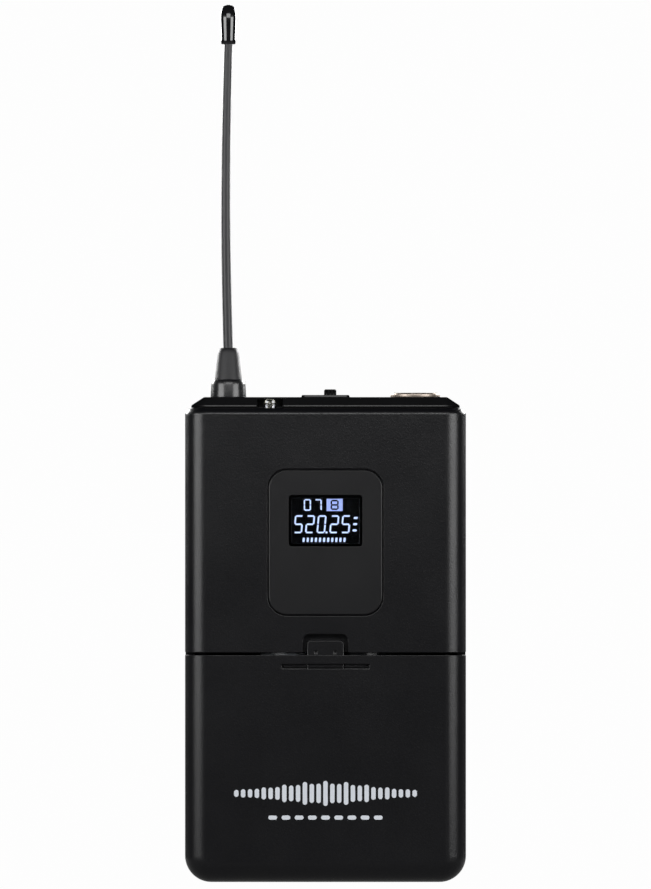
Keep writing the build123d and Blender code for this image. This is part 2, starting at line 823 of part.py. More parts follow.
with BuildPart() as switch_knob:
    with BuildSketch(Plane.XY.offset(lever_bottom)):
        with Locations((switch_rest_x, 0)):
            Rectangle(1.6, 1.2)
    extrude(amount=shutter_bottom + 0.1 - lever_bottom)
    with BuildSketch(Plane.XY.offset(shutter_bottom)):  # shutter that keeps the slot covered
        with Locations((switch_rest_x, 0)):
            Rectangle(7.4, 5.2)
    extrude(amount=shutter_top - shutter_bottom)
    with BuildSketch(Plane.XY.offset(shutter_top)):
        with Locations((switch_rest_x, 0)):
            Rectangle(2 * knob_half, 2 * knob_half_y)
    extrude(amount=knob_top - shutter_top)
    chamfer(faces().sort_by(Axis.Z)[-1].edges(), 0.25)
    with BuildSketch(Plane.XY.offset(switch_plate_top + 0.1)):  # upright grooves in front and back
        with Locations((switch_rest_x, 0)):
            with GridLocations(0.8, 2 * knob_half_y, 3, 2):
                Rectangle(0.25, 0.3)
    extrude(amount=knob_top - switch_plate_top - 0.45, mode=Mode.SUBTRACT)
switch_knob.part.label = "switch_knob"
export_step(switch_knob.part, "parts/switch_knob.step")

terminal_rows = (-2.5, 0, 2.5)

with BuildPart() as switch_terminals:
    with BuildSketch(Plane.XY.offset(terminal_bottom)):
        with Locations(*[(x, 0) for x in terminal_rows]):
            Rectangle(0.9, 0.6)
    extrude(amount=switch_body_bottom - terminal_bottom)
switch_terminals.part.label = "switch_terminals"
export_step(switch_terminals.part, "parts/switch_terminals.step")

switch_strands = [
    lead(
        ((x, 0, terminal_bottom), (x, 0, 95.0), (x, lead_landing_y, 93.4), (x, lead_landing_y, board_top)),
        0.3, 0.6,
    )
    for x in terminal_rows
]
with BuildPart() as switch_leads:
    add(switch_strands)
switch_leads.part.label = "switch_leads"
export_step(switch_leads.part, "parts/switch_leads.step")

jack_places = [
    (jack_x + pin_circle_radius * cos(radians(angle)), pin_circle_radius * sin(radians(angle)))
    for angle in pin_angles
]
sleeve_bottom = jack_ring_top - jack_bore_length

with BuildPart() as jack_ring:
    with BuildSketch(Plane.XY.offset(sleeve_bottom)):
        with Locations((jack_x, 0)):
            Circle(jack_thread_radius)
    extrude(amount=plate_top - sleeve_bottom)
    with BuildSketch(Plane.XY.offset(plate_top)):
        with Locations((jack_x, 0)):
            Circle(jack_ring_radius)
    extrude(amount=jack_ring_top - plate_top)
    fillet(faces().sort_by(Axis.Z)[-1].edges(), 0.4)
    with BuildSketch(Plane.XY.offset(sleeve_bottom)):
        with Locations((jack_x, 0)):
            Circle(jack_bore_radius)
    extrude(amount=jack_bore_length, mode=Mode.SUBTRACT)
jack_ring.part.label = "jack_ring"
export_step(jack_ring.part, "parts/jack_ring.step")

with BuildPart() as jack_nut:
    with BuildSketch(Plane.XY.offset(jack_nut_bottom)):
        with Locations((jack_x, 0)):
            Circle(5.8)
            Circle(jack_thread_radius + 0.03, mode=Mode.SUBTRACT)
    extrude(amount=plate_underside - jack_nut_bottom)
jack_nut.part.label = "jack_nut"
export_step(jack_nut.part, "parts/jack_nut.step")

with BuildPart() as jack_shell:
    with BuildSketch(Plane.XY.offset(jack_bottom)):
        with Locations((jack_x, 0)):
            Circle(jack_thread_radius - 0.05)
    extrude(amount=sleeve_bottom - jack_bottom)
    with BuildSketch(Plane.XY.offset(jack_floor)):
        with Locations((jack_x, 0)):
            Circle(jack_cavity_radius)
    extrude(amount=sleeve_bottom - jack_floor, mode=Mode.SUBTRACT)
    with BuildSketch(Plane.XY.offset(jack_bottom)):
        with Locations((jack_x, 0)):
            Circle(3.3)
    extrude(amount=jack_floor - jack_bottom, mode=Mode.SUBTRACT)
jack_shell.part.label = "jack_shell"
export_step(jack_shell.part, "parts/jack_shell.step")

with BuildPart() as jack_insulator:
    with BuildSketch(Plane.XY.offset(jack_floor)):
        with Locations((jack_x, 0)):
            Circle(jack_cavity_radius - 0.05)
        with Locations(*jack_places):
            Circle(jack_pin_radius + 0.02, mode=Mode.SUBTRACT)
    extrude(amount=4.5)
jack_insulator.part.label = "jack_insulator"
export_step(jack_insulator.part, "parts/jack_insulator.step")

with BuildPart() as jack_pins:
    with BuildSketch(Plane.XY.offset(jack_pin_bottom)):
        with Locations(*jack_places):
            Circle(jack_pin_radius)
    extrude(amount=jack_pin_top - jack_pin_bottom)
    fillet(faces().group_by(Axis.Z)[-1].edges(), 0.35)
jack_pins.part.label = "jack_pins"
export_step(jack_pins.part, "parts/jack_pins.step")

audio_strands = [
    lead(
        ((x, y, jack_pin_bottom), (x, y, 93.5), (x, lead_landing_y, 92.9), (x, lead_landing_y, board_top)),
        0.28, 0.25,
    )
    for x, y in jack_places
]
with BuildPart() as audio_leads:
    add(audio_strands)
audio_leads.part.label = "audio_leads"
export_step(audio_leads.part, "parts/audio_leads.step")

with BuildPart() as status_led:
    with BuildSketch(Plane.XY.offset(led_bottom)):
        with Locations((led_x, led_y)):
            Circle(led_radius)
    extrude(amount=led_top - led_bottom)
    fillet(faces().sort_by(Axis.Z)[-1].edges(), led_radius - 0.05)
status_led.part.label = "status_led"
export_step(status_led.part, "parts/status_led.step")

led_strands = [
    lead(
        ((x, led_y, led_bottom), (x, led_y, 95.5), (x, lead_landing_y, 93.0),
         (x, lead_landing_y, board_top)),
        0.25, 0.8,
    )
    for x in (led_x - led_lead_spread, led_x + led_lead_spread)
]
with BuildPart() as led_leads:
    add(led_strands)
led_leads.part.label = "led_leads"
export_step(led_leads.part, "parts/led_leads.step")

# antenna

antenna_plane = Plane(origin=(antenna_x, 0, 0), x_dir=(1, 0, 0), z_dir=(0, -1, 0))
stud_bottom = 104.4
boot_bottom = 112.5
core_top = 118.5
antenna_nut_bottom = 107.4

with BuildPart() as antenna_stud:
    with BuildSketch(Plane((antenna_x, 0, stud_bottom))):
        Circle(stud_radius)
    extrude(amount=boot_bottom - stud_bottom)
    with BuildSketch(Plane((antenna_x, 0, boot_bottom))):  # core that the boot is moulded on
        Circle(1.0)
    extrude(amount=core_top - boot_bottom)
antenna_stud.part.label = "antenna_stud"
export_step(antenna_stud.part, "parts/antenna_stud.step")

with BuildPart() as antenna_nut:
    with BuildSketch(Plane((antenna_x, 0, antenna_nut_bottom))):
        RegularPolygon(4.0, 6, major_radius=False, rotation=30)
        Circle(stud_radius + 0.03, mode=Mode.SUBTRACT)
    extrude(amount=plate_underside - antenna_nut_bottom)
antenna_nut.part.label = "antenna_nut"
export_step(antenna_nut.part, "parts/antenna_nut.step")

with BuildPart() as antenna_collar:
    with BuildSketch(antenna_plane):
        with BuildLine():
            Polyline((3.15, plate_top), (collar_radius, plate_top), (3.92, 113.4))
            Spline((3.92, 113.4), (3.83, 114.1), (3.45, collar_top), tangents=((-0.04, 1), (-1, 0.1)))
            Polyline((3.45, collar_top), (3.15, collar_top), (3.15, plate_top))
        make_face()
    revolve(axis=upright_axis(antenna_x))
antenna_collar.part.label = "antenna_collar"
export_step(antenna_collar.part, "parts/antenna_collar.step")

with BuildPart() as antenna_boot:
    with BuildSketch(antenna_plane):
        with BuildLine():
            Polyline((1.05, boot_bottom), (boot_radius, boot_bottom), (boot_radius, collar_top),
                     (boot_tip_radius + 0.12, 120.6))
            Spline((boot_tip_radius + 0.12, 120.6), (boot_tip_radius - 0.15, 121.4), (1.5, boot_top),
                   tangents=((-0.12, 1), (-1, 0.15)))
            Polyline((1.5, boot_top), (1.3, boot_top), (1.3, core_top + 0.1), (1.05, core_top + 0.1),
                     (1.05, boot_bottom))
        make_face()
    revolve(axis=upright_axis(antenna_x))
antenna_boot.part.label = "antenna_boot"
export_step(antenna_boot.part, "parts/antenna_boot.step")

with BuildPart() as antenna_whip:
    with BuildLine():
        bow = ThreePointArc(
            (antenna_x, 0, whip_bottom),
            (antenna_x - whip_bow, 0, (whip_bottom + whip_top) / 2),
            (antenna_x, 0, whip_top + 2.0),
        )
    with BuildSketch(Plane(origin=bow @ 0, z_dir=bow % 0)):
        Circle(whip_radius)
    sweep(path=bow)
antenna_whip.part.label = "antenna_whip"
export_step(antenna_whip.part, "parts/antenna_whip.step")

with BuildPart() as antenna_tip:
    with BuildSketch(antenna_plane):
        with BuildLine():
            Spline((1.6, whip_top), (1.74, 193.5), (tip_radius, 197.0), (1.5, 199.4), (0, tip_top),
                   tangents=((0.05, 1), (-1, 0)))
            Polyline((0, tip_top), (0, whip_top + 2.6), (1.25, whip_top + 2.6), (1.25, whip_top),
                     (1.6, whip_top))
        make_face()
    revolve(axis=upright_axis(antenna_x))
antenna_tip.part.label = "antenna_tip"
export_step(antenna_tip.part, "parts/antenna_tip.step")

antenna_strand = lead(
    ((antenna_x, 0, stud_bottom), (antenna_x, 0, 99.0), (-17.5, lead_landing_y, 94.5),
     (-17.5, lead_landing_y, board_top)),
    0.6, 1.5,
)
with BuildPart() as antenna_lead:
    add(antenna_strand)
antenna_lead.part.label = "antenna_lead"
export_step(antenna_lead.part, "parts/antenna_lead.step")

# belt clip

with BuildPart() as clip_base:
    with BuildSketch(side_view(-clip_width / 2)):
        with Locations((rear_y + clip_steel / 2, (clip_plate_bottom + clip_bend_z) / 2)):
            Rectangle(clip_steel, clip_bend_z - clip_plate_bottom)
        with Locations((clip_bend_y, clip_bend_z)):
            Circle(clip_bend_radius)
            Circle(clip_bend_radius - clip_steel, mode=Mode.SUBTRACT)
        with Locations((clip_bend_y + clip_steel, clip_bend_z - clip_bend_radius)):
            Rectangle(2 * clip_bend_radius, 2 * clip_bend_radius, mode=Mode.SUBTRACT)
    extrude(amount=clip_width)
    with BuildSketch(front_view(rear_y + clip_steel)):
        with Locations((-rivet_x, rivet_z), (rivet_x, rivet_z)):
            Circle(rivet_radius)
    extrude(amount=clip_steel, mode=Mode.SUBTRACT)
clip_base.part.label = "clip_base"
export_step(clip_base.part, "parts/clip_base.step")

clip_leaf_y = clip_bend_y + clip_bend_radius - clip_steel / 2

with BuildPart() as clip_arm:
    with BuildLine(Plane.YZ):
        leaf = FilletPolyline(
            (clip_leaf_y, clip_bend_z - clip_joint_gap),
            (clip_leaf_y, clip_knee_z),
            (clip_pinch_y, clip_pinch_z),
            (clip_foot_y, clip_foot_z),
            radius=(5.0, 2.0),
        )
    with BuildSketch(Plane(origin=leaf @ 0, x_dir=(1, 0, 0), z_dir=leaf % 0)):
        Rectangle(clip_width, clip_steel)
    sweep(path=leaf)
    with BuildSketch(front_view(30.0)):  # the foot is a little narrower and round-cornered
        with BuildLine():
            Polyline(
                (-clip_foot_width / 2, clip_foot_z - 0.2),
                (clip_foot_width / 2, clip_foot_z - 0.2),
                (clip_width / 2, clip_bend_z),
                (-clip_width / 2, clip_bend_z),
                close=True,
            )
        make_face()
        fillet(vertices().group_by(Axis.Y)[0], 3.7)
    extrude(amount=30.0, mode=Mode.INTERSECT)
clip_arm.part.label = "clip_arm"
export_step(clip_arm.part, "parts/clip_arm.step")

with BuildPart() as clip_rivets:
    with BuildSketch(front_view(rear_y + clip_steel)):
        with Locations((-rivet_x, rivet_z), (rivet_x, rivet_z)):
            Circle(rivet_radius)
    extrude(amount=clip_steel + wall)
    with BuildSketch(front_view(rear_y - wall)):
        with Locations((-rivet_x, rivet_z), (rivet_x, rivet_z)):
            Circle(rivet_radius + 1.0)
    extrude(amount=0.7)
clip_rivets.part.label = "clip_rivets"
export_step(clip_rivets.part, "parts/clip_rivets.step")
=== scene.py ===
import math

import bpy
from mathutils import Matrix, Vector


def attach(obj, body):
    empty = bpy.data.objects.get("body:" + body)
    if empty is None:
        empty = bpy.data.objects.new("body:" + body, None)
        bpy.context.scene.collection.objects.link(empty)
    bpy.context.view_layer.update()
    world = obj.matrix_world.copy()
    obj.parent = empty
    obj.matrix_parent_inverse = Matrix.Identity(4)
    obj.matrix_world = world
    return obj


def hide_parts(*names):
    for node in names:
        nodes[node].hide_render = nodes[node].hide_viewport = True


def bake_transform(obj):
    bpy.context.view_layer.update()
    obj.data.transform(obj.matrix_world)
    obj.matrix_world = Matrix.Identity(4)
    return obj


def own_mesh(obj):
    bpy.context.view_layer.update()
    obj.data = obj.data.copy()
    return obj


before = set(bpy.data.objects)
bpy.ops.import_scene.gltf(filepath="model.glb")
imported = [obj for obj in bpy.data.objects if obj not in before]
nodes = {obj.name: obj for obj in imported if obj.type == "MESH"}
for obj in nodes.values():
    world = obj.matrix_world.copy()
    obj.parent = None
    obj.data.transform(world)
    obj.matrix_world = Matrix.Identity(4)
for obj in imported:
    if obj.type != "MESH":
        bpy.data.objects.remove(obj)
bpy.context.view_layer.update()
mm = 0.001
print("frame loaded:", len(nodes), "nodes")


# small helpers for modelling as by hand
def clearSelection():
    if bpy.context.object and bpy.context.object.mode != "OBJECT":
        bpy.ops.object.mode_set(mode="OBJECT")
    bpy.ops.object.select_all(action="DESELECT")


def makeActive(piece):
    clearSelection()
    piece.select_set(True)
    bpy.context.view_layer.objects.active = piece


def editMode(piece, kind="FACE"):
    makeActive(piece)
    bpy.ops.object.mode_set(mode="EDIT")
    bpy.ops.mesh.select_mode(type=kind)
    bpy.ops.mesh.select_all(action="DESELECT")


def objectMode():
    bpy.ops.object.mode_set(mode="OBJECT")


def chooseFaces(piece, test):
    # picks faces in edit mode by centre and normal
    objectMode()
    for face in piece.data.polygons:
        face.select = bool(test(face.center, face.normal))
    bpy.ops.object.mode_set(mode="EDIT")


def chooseEdges(piece, test):
    # picks edges in edit mode by their two ends
    objectMode()
    points = piece.data.vertices
    for face in piece.data.polygons:
        face.select = False
    for point in points:
        point.select = False
    for edge in piece.data.edges:
        edge.select = bool(test(points[edge.vertices[0]].co, points[edge.vertices[1]].co))
    bpy.ops.object.mode_set(mode="EDIT")


def settle(piece):
    # puts the object's place in its mesh
    makeActive(piece)
    bpy.ops.object.transform_apply(location=True, rotation=True, scale=True)
    return piece


def applyAll(piece):
    makeActive(piece)
    for modifier in list(piece.modifiers):
        bpy.ops.object.modifier_apply(modifier=modifier.name)


def softenEdges(piece, width, segments=2, angle=30):
    bevel = piece.modifiers.new("bevel", "BEVEL")
    bevel.width = width
    bevel.segments = segments
    bevel.limit_method = "ANGLE"
    bevel.angle_limit = math.radians(angle)
    bevel.use_clamp_overlap = False
    applyAll(piece)


def evenNormals(piece):
    # keeps broad flat faces flat in shading beside their softened edges
    weighted = piece.modifiers.new("weighted", "WEIGHTED_NORMAL")
    weighted.keep_sharp = True
    weighted.weight = 80
    applyAll(piece)


def smoothShade(piece, angle=35):
    makeActive(piece)
    bpy.ops.object.shade_smooth_by_angle(angle=math.radians(angle))


def outward(piece):
    editMode(piece)
    bpy.ops.mesh.select_all(action="SELECT")
    bpy.ops.mesh.remove_doubles(threshold=1e-7)
    bpy.ops.mesh.normals_make_consistent(inside=False)
    objectMode()


def finishPiece(piece, body, material, replaced=(), shade=35):
    piece.data.materials.clear()
    piece.data.materials.append(material)
    smoothShade(piece, shade)
    evenNormals(piece)
    if body:
        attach(piece, body)
    if replaced:
        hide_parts(*replaced)
    return piece


def joinPieces(pieces, name):
    clearSelection()
    for piece in pieces:
        piece.select_set(True)
    bpy.context.view_layer.objects.active = pieces[0]
    if len(pieces) > 1:
        bpy.ops.object.join()
    joined = bpy.context.view_layer.objects.active
    joined.name = name
    return settle(joined)


def detailCopy(node, name, edge, segments=2):
    # a cleaned copy of a CAD node's mesh with softened edges
    piece = nodes[node].copy()
    piece.data = nodes[node].data.copy()
    piece.parent = None
    piece.name = name
    for key in list(piece.keys()):
        del piece[key]
    bpy.context.scene.collection.objects.link(piece)
    piece.matrix_world = Matrix.Identity(4)
    editMode(piece)
    bpy.ops.mesh.select_all(action="SELECT")
    bpy.ops.mesh.customdata_custom_splitnormals_clear()
    bpy.ops.mesh.remove_doubles(threshold=1e-6)
    bpy.ops.mesh.dissolve_limited(angle_limit=math.radians(0.6))
    objectMode()
    if edge:
        softenEdges(piece, edge, segments)
    return piece


def latheByRings(name, x, y, profile, sides=48):
    # a disc drawn up ring by ring: profile is (radius, z), bottom to top
    clearSelection()
    firstRadius, firstZ = profile[0]
    bpy.ops.mesh.primitive_circle_add(vertices=sides, radius=firstRadius, fill_type="NGON",
                                      location=(x, y, firstZ))
    piece = bpy.context.object
    piece.name = name
    settle(piece)
    editMode(piece)
    bpy.ops.mesh.select_all(action="SELECT")
    radius, z = firstRadius, firstZ
    for nextRadius, nextZ in profile[1:]:
        bpy.ops.mesh.extrude_region_move(TRANSFORM_OT_translate={"value": (0, 0, nextZ - z)})
        scale = nextRadius / radius
        bpy.ops.transform.resize(value=(scale, scale, 1), center_override=(x, y, nextZ))
        radius, z = nextRadius, nextZ
    objectMode()
    outward(piece)
    return piece


# shader effects that several materials share
def newGroup(name, inputs, outputs):
    group = bpy.data.node_groups.new(name, "ShaderNodeTree")
    for label, value in inputs:
        socket = group.interface.new_socket(name=label, in_out="INPUT", socket_type="NodeSocketFloat")
        socket.default_value = value
    for label in outputs:
        group.interface.new_socket(name=label, in_out="OUTPUT", socket_type="NodeSocketFloat")
    return group, group.nodes.new("NodeGroupInput"), group.nodes.new("NodeGroupOutput")


def makeMouldGrain():
    # fine grain of a textured mould, with slow drift in gloss and tone
    group, given, result = newGroup(
        "mouldGrain",
        (("Grain per mm", 4.0), ("Roughness", 0.45), ("Roughness spread", 0.08), ("Tone spread", 0.1)),
        ("Height", "Roughness", "Tone"),
    )
    place = group.nodes.new("ShaderNodeTexCoord")
    perMetre = group.nodes.new("ShaderNodeMath")
    perMetre.operation = "MULTIPLY"
    perMetre.inputs[1].default_value = 1000.0
    fine = group.nodes.new("ShaderNodeTexNoise")
    fine.inputs["Detail"].default_value = 3.0
    drift = group.nodes.new("ShaderNodeTexNoise")
    drift.inputs["Scale"].default_value = 70.0
    drift.inputs["Detail"].default_value = 4.0
    rough = group.nodes.new("ShaderNodeMath")
    rough.operation = "MULTIPLY_ADD"
    centred = group.nodes.new("ShaderNodeMath")
    centred.operation = "SUBTRACT"
    centred.inputs[1].default_value = 0.5
    tone = group.nodes.new("ShaderNodeMath")
    tone.operation = "MULTIPLY_ADD"
    tone.inputs[2].default_value = 1.0
    link = group.links.new
    link(given.outputs["Grain per mm"], perMetre.inputs[0])
    link(perMetre.outputs[0], fine.inputs["Scale"])
    link(place.outputs["Object"], fine.inputs["Vector"])
    link(place.outputs["Object"], drift.inputs["Vector"])
    link(drift.outputs["Fac"], centred.inputs[0])
    link(centred.outputs[0], rough.inputs[0])
    link(given.outputs["Roughness spread"], rough.inputs[1])
    link(given.outputs["Roughness"], rough.inputs[2])
    link(fine.outputs["Fac"], result.inputs["Height"])
    link(rough.outputs[0], result.inputs["Roughness"])
    link(centred.outputs[0], tone.inputs[0])
    link(given.outputs["Tone spread"], tone.inputs[1])
    link(tone.outputs[0], result.inputs["Tone"])
    return group


def makeMetalMarks():
    # hairline marks drawn out along one direction, for rolled and turned metal
    group, given, result = newGroup(
        "metalMarks",
        (("Marks per mm", 6.0), ("Roughness", 0.3), ("Roughness spread", 0.2)),
        ("Height", "Roughness"),
    )
    place = group.nodes.new("ShaderNodeTexCoord")
    stretch = group.nodes.new("ShaderNodeMapping")
    stretch.inputs["Scale"].default_value = (1.0, 1.0, 0.06)
    perMetre = group.nodes.new("ShaderNodeMath")
    perMetre.operation = "MULTIPLY"
    perMetre.inputs[1].default_value = 1000.0
    marks = group.nodes.new("ShaderNodeTexNoise")
    marks.inputs["Detail"].default_value = 4.0
    centred = group.nodes.new("ShaderNodeMath")
    centred.operation = "SUBTRACT"
    centred.inputs[1].default_value = 0.5
    rough = group.nodes.new("ShaderNodeMath")
    rough.operation = "MULTIPLY_ADD"
    link = group.links.new
    link(place.outputs["Object"], stretch.inputs["Vector"])
    link(stretch.outputs["Vector"], marks.inputs["Vector"])
    link(given.outputs["Marks per mm"], perMetre.inputs[0])
    link(perMetre.outputs[0], marks.inputs["Scale"])
    link(marks.outputs["Fac"], centred.inputs[0])
    link(centred.outputs[0], rough.inputs[0])
    link(given.outputs["Roughness spread"], rough.inputs[1])
    link(given.outputs["Roughness"], rough.inputs[2])
    link(marks.outputs["Fac"], result.inputs["Height"])
    link(rough.outputs[0], result.inputs["Roughness"])
    return group


mouldGrain = makeMouldGrain()
metalMarks = makeMetalMarks()


def startMaterial(name):
    material = bpy.data.materials.new(name)
    material.use_nodes = True
    return material, material.node_tree, material.node_tree.nodes["Principled BSDF"]


def addBump(tree, shader, source, strength, distance):
    bump = tree.nodes.new("ShaderNodeBump")
    bump.inputs["Strength"].default_value = strength
    bump.inputs["Distance"].default_value = distance
    tree.links.new(source, bump.inputs["Height"])
    tree.links.new(bump.outputs["Normal"], shader.inputs["Normal"])


def addGrain(tree, shader, grain, roughness, spread=0.08, tone=0.1):
    grainNode = tree.nodes.new("ShaderNodeGroup")
    grainNode.node_tree = mouldGrain
    grainNode.inputs["Grain per mm"].default_value = grain
    grainNode.inputs["Roughness"].default_value = roughness
    grainNode.inputs["Roughness spread"].default_value = spread
    grainNode.inputs["Tone spread"].default_value = tone
    tree.links.new(grainNode.outputs["Roughness"], shader.inputs["Roughness"])
    return grainNode


def tinted(tree, grainNode, colour):
    # the colour with the grain's slow drift in tone
    tint = tree.nodes.new("ShaderNodeMix")
    tint.data_type = "RGBA"
    tint.blend_type = "MULTIPLY"
    tint.inputs["Factor"].default_value = 1.0
    tint.inputs["A"].default_value = (*colour, 1.0)
    tree.links.new(grainNode.outputs["Tone"], tint.inputs["B"])
    return tint.outputs["Result"]


def grained(name, colour, roughness, grain=4.0, depth=0.02, bump=0.5, spread=0.08, tone=0.15,
            specular=0.5, metallic=0.0, coat=0.0, coatRoughness=0.1):
    # plastics, rubber, paint and films: one grain group, own values
    material, tree, shader = startMaterial(name)
    grainNode = addGrain(tree, shader, grain, roughness, spread, tone)
    tree.links.new(tinted(tree, grainNode, colour), shader.inputs["Base Color"])
    addBump(tree, shader, grainNode.outputs["Height"], bump, depth * mm)
    shader.inputs["Specular IOR Level"].default_value = specular
    shader.inputs["Metallic"].default_value = metallic
    shader.inputs["Coat Weight"].default_value = coat
    shader.inputs["Coat Roughness"].default_value = coatRoughness
    return material


def metal(name, colour, roughness, marks=6.0, spread=0.2, bump=0.15, depth=0.01):
    material, tree, shader = startMaterial(name)
    marksNode = tree.nodes.new("ShaderNodeGroup")
    marksNode.node_tree = metalMarks
    marksNode.inputs["Marks per mm"].default_value = marks
    marksNode.inputs["Roughness"].default_value = roughness
    marksNode.inputs["Roughness spread"].default_value = spread
    shader.inputs["Base Color"].default_value = (*colour, 1.0)
    shader.inputs["Metallic"].default_value = 1.0
    tree.links.new(marksNode.outputs["Roughness"], shader.inputs["Roughness"])
    addBump(tree, shader, marksNode.outputs["Height"], bump, depth * mm)
    return material


def glass(name, colour, roughness, ior=1.49, grain=0.4, depth=0.004, bump=0.04):
    material, tree, shader = startMaterial(name)
    grainNode = addGrain(tree, shader, grain, roughness, roughness)
    addBump(tree, shader, grainNode.outputs["Height"], bump, depth * mm)
    shader.inputs["Base Color"].default_value = (*colour, 1.0)
    shader.inputs["IOR"].default_value = ior
    shader.inputs["Transmission Weight"].default_value = 1.0
    return material


def lit(name, colour, strength, roughness=0.4, grain=1.5, tone=0.25):
    material, tree, shader = startMaterial(name)
    grainNode = addGrain(tree, shader, grain, roughness, tone=tone)
    glow = tinted(tree, grainNode, colour)
    tree.links.new(glow, shader.inputs["Base Color"])
    tree.links.new(glow, shader.inputs["Emission Color"])
    shader.inputs["Emission Strength"].default_value = strength
    return material


finish = {
    "case": grained("casePlastic", (0.0042, 0.0042, 0.0054), 0.3, grain=3.2, depth=0.05, bump=0.55),
    "plate": grained("platePlastic", (0.0035, 0.0035, 0.0042), 0.4, grain=3.6, depth=0.04, bump=0.5),
    "bezel": grained("bezelSatin", (0.004, 0.004, 0.005), 0.36, grain=6.0, depth=0.02, bump=0.3),
    "window": glass("windowClear", (0.78, 0.8, 0.84), 0.02),
    "lcdFace": grained("lcdFace", (0.002, 0.0025, 0.004), 0.18, grain=1.0, depth=0.002, bump=0.05),
    "lcdLit": lit("readoutLit", (0.6, 0.72, 1.0), 1.15),
    # glowing LED posts: painted glints in the lens, the LED itself is not lit
    "ledPostPaintedGlint": lit("ledPostPaintedGlint", (0.8, 0.82, 0.86), 0.55),
    "lcdField": lit("readoutField", (0.4, 0.5, 0.93), 1.0),
    "backlight": grained("backlightDiffuser", (0.75, 0.78, 0.82), 0.35, grain=2.0, depth=0.01),
    "clip": grained("clipCoating", (0.0045, 0.0045, 0.0055), 0.37, grain=2.4, depth=0.07, bump=0.8,
                    spread=0.3),
    # bare steel on the clip's cut sides, bright enough to paint a highlight line along them
    "clipBareEdgeHighlight": metal("clipBareEdgeHighlight", (0.34, 0.34, 0.35), 0.34, marks=3.0, spread=0.2),
    "rubber": grained("bootRubber", (0.022, 0.022, 0.024), 0.5, grain=5.0, depth=0.02, bump=0.4),
    "whip": grained("whipJacket", (0.03, 0.03, 0.033), 0.38, grain=2.5, depth=0.02, bump=0.3),
    "collar": grained("collarSatin", (0.012, 0.012, 0.0135), 0.27, grain=4.0, depth=0.01, bump=0.3,
                      specular=0.7),
    "tip": grained("tipGloss", (0.008, 0.008, 0.009), 0.12, grain=1.5, depth=0.004, bump=0.2,
                   coat=0.6, coatRoughness=0.06),
    "nickel": metal("nickelPlate", (0.5, 0.43, 0.37), 0.42, marks=4.0, spread=0.1, bump=0.03),
    "nickelDull": metal("nickelDull", (0.55, 0.53, 0.49), 0.36),
    "gold": metal("goldFlash", (0.83, 0.62, 0.28), 0.22),
    "steel": metal("springSteel", (0.52, 0.53, 0.55), 0.3),
    "zinc": metal("zincPlate", (0.58, 0.6, 0.62), 0.35),
    "screw": grained("screwBlack", (0.035, 0.035, 0.037), 0.28, grain=5.0, depth=0.01, bump=0.3,
                     metallic=0.8),
    # bright metal for the sides of the screws' crosses, a painted glint beside the black heads
    "crossGlint": metal("crossGlint", (0.7, 0.71, 0.73), 0.3, marks=3.0, spread=0.2),
    "board": grained("solderMask", (0.01, 0.07, 0.03), 0.3, grain=1.2, depth=0.01, bump=0.3),
    "chip": grained("chipResin", (0.012, 0.012, 0.013), 0.55, grain=5.0, depth=0.02),
    "sleeve": grained("cellSleeve", (0.02, 0.022, 0.026), 0.22, grain=1.0, depth=0.004, bump=0.2,
                      coat=0.4),
    "sleeveBand": grained("cellBand", (0.3, 0.32, 0.35), 0.24, grain=1.0, depth=0.004, bump=0.2,
                          coat=0.4),
    "print": grained("padPrint", (0.8, 0.84, 0.9), 0.45, grain=5.0, depth=0.01),
    "label": grained("labelFilm", (0.8, 0.82, 0.86), 0.3, grain=2.0, depth=0.006, bump=0.2),
    "ink": grained("labelInk", (0.03, 0.03, 0.04), 0.4, grain=5.0, depth=0.004),
    "wireRed": grained("wireRed", (0.42, 0.02, 0.02), 0.35, grain=2.0, depth=0.01),
    "wireBlack": grained("wireBlack", (0.012, 0.012, 0.013), 0.38, grain=2.0, depth=0.01),
    "wireGrey": grained("wireGrey", (0.25, 0.25, 0.27), 0.38, grain=2.0, depth=0.01),
    "led": glass("ledClear", (0.95, 0.96, 0.98), 0.04, 1.52),
    "die": grained("ledDie", (0.75, 0.72, 0.6), 0.3, grain=3.0, depth=0.01, metallic=0.8),
}
print("materials made:", len(finish))

# CAD nodes that stay as they are take a finish here
carried = {
    "display_window": "window", "lcd_glass": "lcdFace", "lcd_backlight": "backlight",
    "lcd_frame": "chip", "main_board": "board", "board_screws": "zinc", "rf_shield": "zinc",
    "board_chips": "chip", "board_capacitors": "zinc", "crystal": "zinc", "battery_tray": "case",
    "battery_springs": "steel", "battery_contacts": "nickelDull", "battery_lead_red": "wireRed",
    "battery_lead_black": "wireBlack", "switch_body": "zinc", "switch_terminals": "nickelDull",
    "switch_leads": "wireGrey", "jack_nut": "nickelDull", "jack_shell": "nickelDull",
    "jack_insulator": "chip", "jack_pins": "gold", "audio_leads": "wireGrey",
    "led_leads": "nickelDull", "antenna_stud": "nickelDull", "antenna_nut": "nickelDull",
    "antenna_lead": "wireBlack", "clip_rivets": "screw", "hinge_pin": "zinc",
}
for node, finishName in carried.items():
    mesh = nodes[node].data
    mesh.materials.clear()
    mesh.materials.append(finish[finishName])

